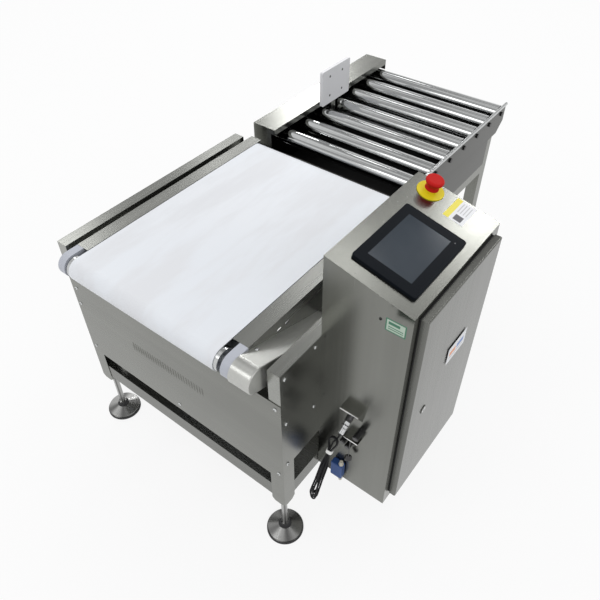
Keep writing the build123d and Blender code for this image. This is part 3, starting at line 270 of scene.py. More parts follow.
@dataclass(frozen=True)
class Steel(Finish):
    """Brushed or turned metal: fine lines along its grain, broader streaks, and handling marks that
    also serve as painted broad reflections.
    """

    grain: Along = Along.X
    depth: float = 0.000002
    contrast: float = 0.16
    upper: tuple[float, float, Along] | None = None
    # X before which the metal is painted a light colour, a painted highlight; 0 for none.
    painted_highlight_x: float = 0.0
    metallic: float = 1.0
    streak_across: float = 0.12
    streak_along: float = 0.35
    streak_share: float = 2.0
    marks_and_sheen_scale: float = 3.2
    marks_and_sheen_share: float = 0.5
    darkest: float = 0.62
    lightest: float = 1.35
    gloss_change: float = 0.08
    painted_highlight_colour: Colour = (0.85, 0.85, 0.84)

    def lines(self, graph: Graph, grain: Along) -> tuple[Wire, Wire]:
        """Noise stretched along one grain.

        Args:
            graph: The material's node tree.
            grain: Direction of the lines.

        Returns:
            Fine lines and broader streaks.
        """
        fine = graph.noise(graph.coordinates(grain.value), 1.0)
        shares = (self.streak_across if s > ACROSS_OVER else self.streak_along for s in grain.value)
        broad_scale = tuple(share * s for share, s in zip(shares, grain.value))
        return fine, graph.noise(graph.coordinates(broad_scale), 1.0)

    def paint(self, graph: Graph) -> dict:
        """Lines are noise stretched along the grain; marks are broad noise that dulls the metal, as
        handling marks and as painted broad reflections.

        Over the plane z = level + rise * y the grain is the upper one, and what lies before
        the given x is painted a light colour, a painted highlight on the edges there.

        Args:
            graph: The material's node tree.

        Returns:
            The shader's sockets.
        """
        fine, broad = self.lines(graph, self.grain)
        if self.upper:
            level, rise, grain = self.upper
            _, y, z = graph.axes(graph.coordinates())
            over = (z - y * rise).above(level)
            ends = zip((fine, broad), self.lines(graph, grain))
            fine, broad = (low + (high - low) * over for low, high in ends)
        # Handling marks and painted broad reflections: broad noise that lightens and darkens the
        # metal.
        marks_and_sheen = graph.noise(graph.coordinates(), self.marks_and_sheen_scale, 1.5)
        streaks = (broad - 0.5) * (self.contrast * self.streak_share)
        tone = (fine - 0.5) * self.contrast + streaks + 0.5
        ends = shade(self.colour, self.darkest), shade(self.colour, self.lightest)
        metal = graph.blend(tone + (marks_and_sheen - 0.5) * self.marks_and_sheen_share, *ends)
        # Painted highlight: what lies before the given x gets a light colour in place of the
        # highlight on the edges there.
        if self.painted_highlight_x:
            x, _, _ = graph.axes(graph.coordinates())
            metal = graph.blend(x.below(self.painted_highlight_x), metal, self.painted_highlight_colour)
        change = (marks_and_sheen - 0.5) * self.gloss_change + (fine - 0.5) * self.gloss_change
        return {
            "Base Color": metal,
            "Metallic": self.metallic,
            "Roughness": change + self.roughness,
            "Normal": graph.bump(fine, self.depth),
        }


@dataclass(frozen=True)
class Moulded(Finish):
    """Plastic or rubber: an even colour with a fine grain and slight clouding."""

    grain: float = 900.0
    depth: float = 0.00002
    coat: float = 0.0
    clouding: float = 0.08
    specular: float = 0.5
    cloud_scale: float = 9.0
    cloud_gloss: float = 0.12
    grain_gloss: float = 0.08

    def paint(self, graph: Graph) -> dict:
        """Grain is fine noise in the relief; clouds shade the colour and the gloss.

        Args:
            graph: The material's node tree.

        Returns:
            The shader's sockets.
        """
        place = graph.coordinates()
        grain = graph.noise(place, self.grain)
        clouds = graph.noise(place, self.cloud_scale, 3.0)
        ends = shade(self.colour, 1 - self.clouding), shade(self.colour, 1 + self.clouding)
        change = (clouds - 0.5) * self.cloud_gloss + (grain - 0.5) * self.grain_gloss
        return {
            "Base Color": graph.blend(clouds, *ends),
            "Roughness": change + self.roughness,
            "Coat Weight": self.coat,
            "Specular IOR Level": self.specular,
            "Normal": graph.bump(grain, self.depth),
        }


@dataclass(frozen=True)
class PlugSleeve(Finish):
    """Nickelled plug: turned grooves, dark rings and a black end, by the place along its axis."""

    axis: tuple[float, float] = (0.0, 1.0)
    rings: tuple[tuple[float, float], ...] = ()
    ring_colour: Colour = (0.02, 0.02, 0.02)
    ring_dulling: float = 0.2
    groove_rate: float = 2600.0
    groove_depth: float = 0.0002

    def paint(self, graph: Graph) -> dict:
        """The place along the axis in X and Z picks the rings out of the bright metal.

        The grooves are the sine of that place times their rate.

        Args:
            graph: The material's node tree.

        Returns:
            The shader's sockets.
        """
        x, _, z = graph.axes(graph.coordinates())
        along = x * self.axis[0] + z * self.axis[1]
        dark = along.between(*self.rings[0])
        for ring in self.rings[1:]:
            dark = dark + along.between(*ring)
        grooves = (along * self.groove_rate).math("SINE")
        return {
            "Base Color": graph.blend(dark, self.colour, self.ring_colour),
            "Metallic": 1.0 - dark,
            "Roughness": dark * self.ring_dulling + self.roughness,
            "Normal": graph.bump(grooves, self.groove_depth),
        }


@dataclass(frozen=True)
class TwoTone(Moulded):
    """Moulded body in one colour whose parts outside a band of heights are another."""

    band: tuple[float, float] = (0.0, 1.0)
    other: Colour = (0.6, 0.57, 0.48)

    def paint(self, graph: Graph) -> dict:
        """The height picks the second colour over the moulded one.

        Args:
            graph: The material's node tree.

        Returns:
            The shader's sockets.
        """
        sockets = super().paint(graph)
        _, _, z = graph.axes(graph.coordinates())
        inside = z.between(*self.band)
        sockets["Base Color"] = graph.blend(inside, self.other, sockets["Base Color"])
        return sockets


@dataclass(frozen=True)
class BeltCover(Finish):
    """White conveyor belt: a faint weave that shows through, soft stains along the running way."""

    weave_rate: float = 4200.0
    weave_depth: float = 0.00001
    weave_strength: float = 0.5
    stain_scale: tuple[float, float, float] = (2.2, 9.0, 9.0)
    stain_edges: tuple[float, float] = (0.42, 0.62)
    stain_share: float = 0.93
    stain_gloss: float = 0.2
    cast_scale: float = 2.4
    cool_white: Colour = (0.70, 0.735, 0.775)
    warm_white: Colour = (0.76, 0.775, 0.80)

    def paint(self, graph: Graph) -> dict:
        """Weave is two crossed waves; stains are noise stretched along the belt's run.

        Args:
            graph: The material's node tree.

        Returns:
            The shader's sockets.
        """
        x, y, _ = graph.axes(graph.coordinates())
        warp, weft = ((axis * self.weave_rate).math("SINE") for axis in (x, y))
        weave = warp * weft * 0.5 + 0.5
        stains = graph.noise(graph.coordinates(self.stain_scale), 1.0, 4.0, 0.6)
        cast = graph.noise(graph.coordinates(), self.cast_scale, 1.0)
        white = graph.blend(cast, self.cool_white, self.warm_white)
        dull = shade(self.colour, self.stain_share)
        return {
            "Base Color": graph.blend(stains.ramp(*self.stain_edges), white, dull),
            "Roughness": (stains - 0.5) * self.stain_gloss + self.roughness,
            "Normal": graph.bump(weave, self.weave_depth, self.weave_strength),
        }


@dataclass(frozen=True)
class Foot(Finish):
    """Levelling foot: rubber below a height, bright turned steel above it."""

    rubber_top: float = 0.008
    collar: tuple[float, float] = (0.024, 0.037)
    collar_colour: Colour = (0.02, 0.02, 0.021)
    centre: tuple[float, float] = (0.0, 0.0)
    # Painted reflection: rows of bright and dark sectors round the foot's axis, as count, offset
    # and strength.
    reflection_sectors: tuple = ((4.0, 0.9, 0.3), (6.0, 0.4, 0.2))
    darkest: float = 0.28
    dulling: float = 0.45
    ring_gloss: float = 0.1
    ring_depth: float = 0.000003

    def paint(self, graph: Graph) -> dict:
        """The height sorts rubber, steel cone, black collar and steel stem.

        The turned steel carries a painted reflection in sectors: each row of sectors adds the sine
        of the angle round the foot's axis times a count, plus an offset, times a strength.

        Args:
            graph: The material's node tree.

        Returns:
            The shader's sockets.
        """
        x, y, z = graph.axes(graph.coordinates())
        rings = graph.noise(graph.coordinates(Along.RINGS_Z.value), 1.0)
        black = 1.0 - (1.0 - z.below(self.rubber_top)) * (1.0 - z.between(*self.collar))
        angle = (y - self.centre[1]).math("ARCTAN2", x - self.centre[0])
        # Painted reflection: the sectors lighten and darken the turned steel round the foot's axis.
        first, second = (
            (angle * count + offset).math("SINE") * strength
            for count, offset, strength in self.reflection_sectors
        )
        steel = graph.blend(first + second + 0.5, shade(self.colour, self.darkest), self.colour)
        change = black * self.dulling + (rings - 0.5) * self.ring_gloss
        return {
            "Base Color": graph.blend(black, steel, self.collar_colour),
            "Metallic": 1.0 - black,
            "Roughness": change + self.roughness,
            "Normal": graph.bump(rings, self.ring_depth),
        }


@dataclass(frozen=True)
class Block:
    """A plain rectangle of colour on a label, in shares of its width and height."""

    left: float
    right: float
    low: float
    high: float
    colour: Colour


@dataclass(frozen=True)
class Printed(Finish):
    """A sticker with plain blocks of colour."""

    blocks: tuple[Block, ...] = ()
    ink_scale: float = 400.0
    ink_share: float = 0.95
    ink_gloss: float = 0.1

    def paint(self, graph: Graph) -> dict:
        """Each block is a box in the sticker's own UV map, laid over the paper's colour.

        Args:
            graph: The material's node tree.

        Returns:
            The shader's sockets.
        """
        u, v, _ = graph.axes(graph.wire(graph.node("ShaderNodeTexCoord"), "UV"))
        ink = graph.noise(graph.coordinates(), self.ink_scale)
        colour = graph.blend(ink, shade(self.colour, self.ink_share), self.colour)
        for block in self.blocks:
            inside = u.between(block.left, block.right) * v.between(block.low, block.high)
            colour = graph.blend(inside, colour, block.colour)
        gloss = (ink - 0.5) * self.ink_gloss + self.roughness
        return {"Base Color": colour, "Roughness": gloss}


STAINLESS = (0.212, 0.215, 0.198)
# Painted shade: SHADED is a darker copy of the stainless colour, for the table's side plates.
SHADED = (0.075, 0.076, 0.071)
POLISHED = (0.32, 0.325, 0.305)
DOOR_TONE = (0.168, 0.17, 0.158)
BRIGHT = (0.55, 0.56, 0.56)


class Finishes:
    """The object's finishes by use."""

    along_x = Steel("steel_brushed_along_x", STAINLESS, 0.25, Along.X)
    along_y = Steel("steel_brushed_along_y", STAINLESS, 0.26, Along.Y)
    along_z = Steel("steel_brushed_along_z", STAINLESS, 0.27, Along.Z)
    # Painted shade: the table's side plates get the darker copy of the stainless colour.
    painted_shade_x = Steel("steel_painted_shade_along_x", SHADED, 0.3, Along.X)
    bright_x = Steel("steel_bright_along_x", POLISHED, 0.26, Along.X)
    rail = Steel("steel_rail_along_x", POLISHED, 0.26, Along.X, metallic=0.8)
    # Painted light: the guard's steel gets a much lighter colour and part diffuse, so that its
    # sloped top renders bright.
    guard = Steel("steel_guard_painted_light_along_x", (0.52, 0.525, 0.5), 0.3, Along.X, metallic=0.82)
    low_rail = Steel("steel_low_rail", DOOR_TONE, 0.27, Along.Y)
    door = Steel("steel_door", DOOR_TONE, 0.27, Along.Z)
    # Painted highlight: the front lips of the socket hood and shelf, before x = 0.0988, are painted
    # light.
    cabinet = Steel(
        "steel_cabinet", STAINLESS, 0.25, Along.Z, upper=(0.918, 0.248, Along.Y), painted_highlight_x=0.0988
    )
    # Painted shade: a near-black finish for the sheet under the rollers, where there is only shade.
    shade = Moulded("painted_shade_black", (0.012, 0.012, 0.012), 0.6, specular=0.2)
    tube = Steel("steel_roller_tube", BRIGHT, 0.1, Along.RINGS_Y, 0.00001, 0.1)
    bright = Steel("steel_bright", BRIGHT, 0.2, Along.RINGS_Y, 0.00001, 0.1)
    turned = Steel("steel_turned_upright", BRIGHT, 0.2, Along.RINGS_Z, 0.00001, 0.1)
    aluminium = Steel("aluminium_satin", (0.62, 0.63, 0.64), 0.38, Along.Y, 0.00002, 0.08)
    black_screw = Steel("screw_black_oxide", (0.05, 0.05, 0.05), 0.38, Along.RINGS_Y, 0.00001, 0.2)
    belt = BeltCover("belt_white", (0.74, 0.755, 0.78), 0.42)
    white = Moulded("plastic_white", (0.72, 0.725, 0.74), 0.42)
    block = Moulded("plastic_pale_blue_grey", (0.44, 0.46, 0.51), 0.42)
    black = Moulded("plastic_black", (0.018, 0.019, 0.022), 0.42, specular=0.25)
    bezel = Moulded("bezel_black", (0.006, 0.008, 0.011), 0.35, 1200.0, 0.000006, specular=0.05)
    screen = Moulded("screen_dark", (0.028, 0.038, 0.05), 0.14, 60.0, 0.000002, 0.0, 0.16, 0.3)
    rubber = Moulded("rubber_black", (0.02, 0.02, 0.021), 0.62, 700.0, 0.00004)
    red = Moulded("plastic_red", (0.5, 0.012, 0.01), 0.5, 700.0, 0.00001, specular=0.1)
    yellow = Moulded("plastic_yellow", (0.74, 0.62, 0.015), 0.45, 700.0, 0.00001, specular=0.2)
    blue = TwoTone("plastic_blue", (0.02, 0.07, 0.24), 0.42, band=(0.2228, 0.2772))
    gloss = Moulded("plastic_black_gloss", (0.012, 0.012, 0.013), 0.14, 600.0, 0.000004, 0.3)
    plug = PlugSleeve(
        "plug_nickel",
        (0.72, 0.73, 0.74),
        0.18,
        (-math.cos(math.radians(31.08)), -math.sin(math.radians(31.08))),
        ((-0.342, -0.334), (-0.327, -0.3245), (-0.3175, -0.316), (-0.3035, -0.29)),
    )
    grey = Moulded("plastic_grey", (0.42, 0.43, 0.44), 0.5)
    jacket = Moulded("cable_jacket", (0.007, 0.007, 0.008), 0.36, 500.0, 0.00003, specular=0.2)
    tie = Moulded("tie_white", (0.74, 0.74, 0.72), 0.4)


# Nodes by finish; the feet and the rollers get theirs by name, in dress_nodes.
NODE_FINISHES: dict[str, Finish] = {
    node: finish
    for finish, nodes in (
        (Finishes.along_z, "weigh_legs table_stand pusher_arm mounting_plate"),
        (Finishes.low_rail, "weigh_rails"),
        (Finishes.along_y, "infeed_panel outfeed_panel base_plate"),
        (Finishes.along_x, "side_covers slider_bed roller_housing"),
        (Finishes.bright_x, "side_walls"),
        (
            Finishes.aluminium,
            "load_cell weigh_bridge gearmotor "
            "motor_pulley pusher_actuator pusher_carriage",
        ),
        (Finishes.rail, "conveyor_side_rails"),
        (Finishes.block, "bearing_blocks"),
        (Finishes.bright, "drive_drum tail_drum slide_off_bar roller_axles door_lock"),
        (Finishes.belt, "weigh_belt"),
        (Finishes.rubber, "timing_belt door_gasket"),
        (Finishes.guard, "belt_guard"),
        (Finishes.painted_shade_x, "table_side_plates"),
        (Finishes.black, "roller_bearings"),
        (Finishes.black_screw, "axle_screws"),
        (Finishes.white, "pusher_paddle"),
        (Finishes.cabinet, "cabinet_shell"),
        (Finishes.door, "cabinet_door"),
        (Finishes.turned, "cabinet_hinges"),
        (Finishes.grey, "control_devices"),
        (Finishes.bezel, "screen_bezel"),
        (Finishes.screen, "screen_glass"),
        (Finishes.yellow, "stop_base"),
        (Finishes.red, "stop_button"),
        (Finishes.gloss, "signal_sockets"),
        (Finishes.plug, "lead_plug"),
        (Finishes.tie, "lead_tie"),
        (Finishes.blue, "air_unit"),
    )
    for node in nodes.split()
}


@dataclass
class Place:
    """A local frame: an origin and three axes at right angles."""

    origin: np.ndarray
    x: np.ndarray
    y: np.ndarray
    z: np.ndarray

    @classmethod
    def facing(cls, origin: np.ndarray, out: tuple, side: tuple) -> "Place":
        """Frame on a surface.

        Args:
            origin: Its origin.
            out: The direction out of the surface, which is its Z.
            side: A direction whose part along the surface is its X.

        Returns:
            The frame.
        """
        z = np.array(out, float) / np.linalg.norm(out)
        x = np.array(side, float) - np.dot(side, z) * z
        x /= np.linalg.norm(x)
        return cls(np.array(origin, float), x, np.cross(z, x), z)

    def world(self, points: np.ndarray) -> np.ndarray:
        """Points of shape (..., 3) in this frame, moved to the part's frame."""
        axes = np.stack([self.x, self.y, self.z])
        return points @ axes + self.origin

    def at(self, x: float, y: float, z: float = 0.0) -> "Place":
        """The same frame at another local point."""
        return Place(self.world(np.array([x, y, z])), self.x, self.y, self.z)


def turned(profile: np.ndarray, segments: int = 32) -> np.ndarray:
    """Surface of revolution: profile point (r, h) at angle a is (r cos a, r sin a, h).

    Args:
        profile: Radii and heights, shape (n, 2), from the lower end up.
        segments: Points round the axis.

    Returns:
        Grid of points, shape (n, segments, 3).
    """
    angle = np.linspace(0, 2 * np.pi, segments, endpoint=False)
    radius, height = profile[:, 0, None], profile[:, 1, None]
    return np.stack(np.broadcast_arrays(radius * np.cos(angle), radius * np.sin(angle), height), -1)


def rounded_outline(width: float, height: float, corner: float, steps: int = 4) -> np.ndarray:
    """Outline of a rectangle with round corners: each corner's centre plus a quarter circle.

    Args:
        width: Size along X.
        height: Size along Y.
        corner: Corner radius.
        steps: Points on each quarter.

    Returns:
        Points, shape (4 * steps, 2), counter-clockwise.
    """
    quarter = np.linspace(0, np.pi / 2, steps)
    angle = (quarter + np.arange(4)[:, None] * np.pi / 2).ravel()
    signs = np.repeat(np.array([[1, 1], [-1, 1], [-1, -1], [1, -1]], float), steps, axis=0)
    centre = signs * np.array([width / 2 - corner, height / 2 - corner])
    return centre + corner * np.stack([np.cos(angle), np.sin(angle)], -1)


class Mould:
    """Surfaces gathered into one mesh, with a UV map where it is asked for."""

    def __init__(self, name: str) -> None:
        """Starts an empty mould.

        Args:
            name: Name of the piece.
        """
        self.name = name
        self.points: list[np.ndarray] = []
        self.faces: list[list[int]] = []
        self.maps: list[np.ndarray] = []
        self.count = 0

    def grid(
        self, points: np.ndarray, caps: bool = True, uv: np.ndarray | None = None
    ) -> "Mould":
        """Adds rings of points joined by quads; the rings close on themselves, with capped ends.

        Args:
            points: Rings from one end to the other, shape (rings, points, 3).
            caps: Whether the first and last ring are closed by a face.
            uv: Map coordinates of the same shape but for the last axis, or nothing.

        Returns:
            This mould.
        """
        rings, around = points.shape[:2]
        index = np.arange(rings * around).reshape(rings, around) + self.count
        here, there = index[:-1], index[1:]
        quads = np.stack([here, np.roll(here, -1, 1), np.roll(there, -1, 1), there], -1)
        self.faces += quads.reshape(-1, 4).tolist()
        if caps:
            self.faces += [index[0][::-1].tolist(), index[-1].tolist()]
        self.points.append(points.reshape(-1, 3))
        self.maps.append(np.zeros((rings * around, 2)) if uv is None else uv.reshape(-1, 2))
        self.count += rings * around
        return self

    def build(self, body: str, finish: Finish, slot: str, smooth: bool = True) -> bpy.types.Object:
        """Makes the object, with its doubles merged and its faces outwards.

        Args:
            body: The CAD body that it rides on.
            finish: Its finish.
            slot: The record's material slot; not used.
            smooth: Whether gentle edges are shaded smooth.

        Returns:
            The new object.
        """
        mesh = bpy.data.meshes.new(self.name)
        mesh.from_pydata(np.concatenate(self.points).tolist(), [], self.faces)
        layer = mesh.uv_layers.new(name="UVMap")
        corners = np.zeros(len(mesh.loops), np.int64)
        mesh.loops.foreach_get("vertex_index", corners)
        layer.data.foreach_set("uv", np.concatenate(self.maps)[corners].ravel())
        work = bmesh.new()
        work.from_mesh(mesh)
        bmesh.ops.remove_doubles(work, verts=work.verts, dist=1e-6)
        bmesh.ops.recalc_face_normals(work, faces=work.faces)
        work.to_mesh(mesh)
        work.free()
        mesh.shade_smooth() if smooth else mesh.shade_flat()
        mesh.set_sharp_from_angle(angle=SHARP_ANGLE)
        made = bpy.data.objects.new(self.name, mesh)
        bpy.context.scene.collection.objects.link(made)
        made.data.materials.append(finish.material())
        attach(made, body)
        log.info("%s: %d faces on %s", self.name, len(mesh.polygons), body)
        return made


def folded_sixth(angle: np.ndarray) -> np.ndarray:
    """Angles folded into the 60 degrees of one side of a hexagon, round its middle."""
    return (angle + np.pi / 6) % (np.pi / 3) - np.pi / 6


def socket_screw(mould: Mould, place: Place, radius: float, height: float) -> None:
    """Adds a button-head screw: a domed head of revolution with a six-sided socket sunk in it.

    The dome is a quarter ellipse from the seat to the socket's mouth. The socket's rings pass
    from the round mouth to a hexagon, whose radius at angle a is flats / cos of a folded into
    60 degrees.

    Args:
        mould: Where the surface goes.
        place: Frame at the middle of the seat, with Z out of the surface.
        radius: Radius of the head.
        height: Height of the head.
    """
    around, mouth, flats = 36, 0.5 * radius, 0.4 * radius
    lip_level, floor_level = 0.98, 0.35
    angle = np.linspace(0, 2 * np.pi, around, endpoint=False)
    rise = np.linspace(0, 1, 6)
    ring = mouth + (radius - mouth) * np.sqrt(1 - rise**2)
    hexagon = flats / np.cos(folded_sixth(angle))
    radii = np.concatenate([ring[:, None] + 0 * angle, hexagon[None], hexagon[None]])
    levels = height * np.concatenate([rise, [lip_level, floor_level]])[:, None] + 0 * angle
    mould.grid(place.world(np.stack([radii * np.cos(angle), radii * np.sin(angle), levels], -1)))


def hexagon_nut(mould: Mould, place: Place, flats: float, height: float, bore: float) -> None:
    """Adds a hexagon nut: a six-sided ring with chamfered corners round a bore.

    A side's radius at angle a is half the flats / cos of a folded into 60 degrees.

    Args:
        mould: Where the surface goes.
        place: Frame at the middle of the lower face.
        flats: Size across the flats.
        height: Height of the nut.
        bore: Radius of the bore.
    """
    around, face_share, chamfer = 36, 0.98, 0.12 * height
    angle = np.linspace(0, 2 * np.pi, around, endpoint=False)
    side = flats / 2 / np.cos(folded_sixth(angle))
    face = np.full(around, flats / 2 * face_share)
    hole = np.full(around, bore)
    radii = np.stack([hole, face, side, side, face, hole, hole])
    levels = np.array([0, 0, chamfer, height - chamfer, height, height, 0])[:, None] + 0 * angle
    grid = np.stack([radii * np.cos(angle), radii * np.sin(angle), levels], -1)
    mould.grid(place.world(grid), caps=False)


def sticker(name: str, place: Place, size: np.ndarray, finish: Printed, body: str) -> None:
    """A thin sticker with small round corners, whose UV map runs over its face from 0 to 1.

    Args:
        name: Name of the piece.
        place: Frame at the sticker's middle, with Z out of the surface.
        size: Its width and height.
        finish: Its finish.
        body: The CAD body that it rides on.
    """
    off_surface, thickness, corner = mm(0.02, 0.3, 1.0)
    outline = rounded_outline(size[0], size[1], corner)
    points = np.stack([np.insert(outline, 2, level, axis=1) for level in (off_surface, thickness)])
    uv = np.broadcast_to(outline / size + 0.5, (2, len(outline), 2))
    mould = Mould(name).grid(place.world(points), uv=uv)
    mould.build(body, finish, "white_plastic", smooth=False)


@dataclass
class WeighUnit:
    """Frame of the weigh unit: its panel screws, raised louvres and lock nuts."""

    screw_radius: float = 5.0 * MM
    screw_height: float = 2.8 * MM
    panel_screws: tuple = (
        (662, 539), (667, 480), (663, 313), (327, 313), (-5, 570), (-6, 314),
    )
    side_screws: tuple = (
        (-4, 667), (99, 670), (97, 467), (-4, 514), (-4, 352),
        (619, 667), (619, 514), (619, 352), (520, 667),
    )
    guard_screw: tuple = (14.1, 65.8, 680.2)
    guard_slope: tuple = (0.319, 0, 0.948)
    louvre_pitch: float = 9.0 * MM
    louvre_count: int = 28
    louvre_middle: tuple = (346.0, 445.0)
    louvre_size: tuple = (3.348, 30.0, 1.6)
    louvre_fullness: float = 0.6
    off_panel: float = 0.1 * MM
    nut_size: tuple = (24.0, 9.0, 8.2)
    nut_gap: float = 0.2 * MM

    def build(self) -> None:
        """Builds the screws of all four sides, the louvres and the nuts."""
        panel_low, panel_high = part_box("infeed_panel")
        cover_low, cover_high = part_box("side_covers")
        screws = Mould("frame_screws")
        for across, z in self.panel_screws:
            for x, out in ((panel_low.x, -1), (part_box("outfeed_panel")[1].x, 1)):
                place = Place.facing([x, across * MM, z * MM], (out, 0, 0), (0, 1, 0))
                socket_screw(screws, place, self.screw_radius, self.screw_height)
        for along, z in self.side_screws:
            for y, out in ((cover_low.y, -1), (cover_high.y, 1)):
                place = Place.facing([along * MM, y, z * MM], (0, out, 0), (1, 0, 0))
                socket_screw(screws, place, self.screw_radius, self.screw_height)
        slope = Place.facing(mm(*self.guard_screw), self.guard_slope, (1, 0, 0))
        socket_screw(screws, slope, self.screw_radius, self.screw_height)
        screws.build(MACHINE, Finishes.bright, "bright_steel")
        self.louvres(panel_low.x)
        self.nuts()

    def louvres(self, face: float) -> None:
        """Raised louvre lips: each is half a lens.

        It bulges by the sine along its width times a power of the sine along its height.

        Args:
            face: The panel's outer face in X.
        """
        width, height, rise = (v * MM for v in self.louvre_size)
        across = np.linspace(0, 1, 7)
        along = np.linspace(0, 1, 9)
        lengthwise = np.sin(np.pi * along)[:, None] ** self.louvre_fullness
        bulge = np.sin(np.pi * across)[None] * lengthwise
        seat = face - self.off_panel
        lips = Mould("louvre_lips")
        middle_y, middle_z = (v * MM for v in self.louvre_middle)
        for number in range(self.louvre_count):
            y = middle_y + (number - (self.louvre_count - 1) / 2) * self.louvre_pitch
            parts = (
                seat - rise * bulge,
                y + (across[None] - 0.5) * width,
                middle_z + (along[:, None] - 0.5) * height,
            )
            front = np.stack(np.broadcast_arrays(*parts), -1)
            back = front[:, ::-1].copy()
            back[..., 0] = seat
            lips.grid(np.concatenate([front, back[:, 1:-1]], axis=1))
        lips.build(MACHINE, Finishes.along_y, "brushed_stainless")

    def nuts(self) -> None:
        """Lock nuts on the studs, tight under the plates in the legs."""
        flats, height, bore = mm(*self.nut_size)
        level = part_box("weigh_legs")[0].z - height - self.nut_gap
        nuts = Mould("stud_nuts")
        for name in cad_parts:
            if name.startswith("foot_"):
                low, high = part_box(name)
                middle = (low + high) / 2
                place = Place.facing([middle.x, middle.y, level], (0, 0, 1), (1, 0, 0))
                hexagon_nut(nuts, place, flats, height, bore)
        nuts.build(MACHINE, Finishes.turned, "bright_steel")


@dataclass
class RejectTable:
    """Roller table and pusher: a black sheet of painted shade under the rollers, and the paddle's
    screws.
    """

    hole_pitch: tuple = (66.0, 62.0)
    screw_radius: float = 4.2 * MM
    screw_height: float = 0.8 * MM
    screw_depth: float = 1.2 * MM
    shade_sheet: tuple = ((621, 516), (1203, 516))
    end_shade_sheet: tuple = ((1204, 516), (1204, 604), (1262, 604), (1299, 637), (1299, 650))
    sheet: float = 1.5 * MM
    side_gap: float = 3.5 * MM
    leg_gap: float = 44.0 * MM

    def build(self) -> None:
        """Builds the paddle's screws and the black sheet of painted shade."""
        self.screws()
        self.underside()

    def underside(self) -> None:
        """Painted shade, a black sheet under the rollers: each run of a profile in X and Z, swept
        along Y.
        """
        low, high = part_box("table_side_plates")
        # Painted shade: a black sheet under the rollers that stands in for the shade there.
        shade_sheet = Mould("table_painted_shade")
        for profile, gap in ((self.shade_sheet, self.side_gap), (self.end_shade_sheet, self.leg_gap)):
            line = np.array(profile, float) * MM
            step = np.gradient(line, axis=0)
            away = np.stack([-step[:, 1], step[:, 0]], 1)
            away *= self.sheet / np.linalg.norm(step, axis=1)[:, None]
            outline = np.concatenate([line, (line + away)[::-1]])
            sides = (low.y + gap, high.y - gap)
            shade_sheet.grid(np.stack([np.insert(outline, 1, y, axis=1) for y in sides]))
        shade_sheet.build(MACHINE, Finishes.shade, "brushed_stainless", smooth=False)

    def screws(self) -> None:
        """Four dark countersunk screws in the paddle, with their heads level with its face."""
        low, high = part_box("pusher_paddle")
        middle = (low + high) / 2
        screws = Mould("paddle_screws")
        for side in (-1, 1):
            for level in (-1, 1):
                x = middle.x + side * self.hole_pitch[0] / 2 * MM
                z = middle.z + level * self.hole_pitch[1] / 2 * MM
                origin = [x, low.y + self.screw_depth, z]
                place = Place.facing(origin, (0, -1, 0), (1, 0, 0))
                socket_screw(screws, place, self.screw_radius, self.screw_height)
        screws.build("pusher", Finishes.black_screw, "black_screw")


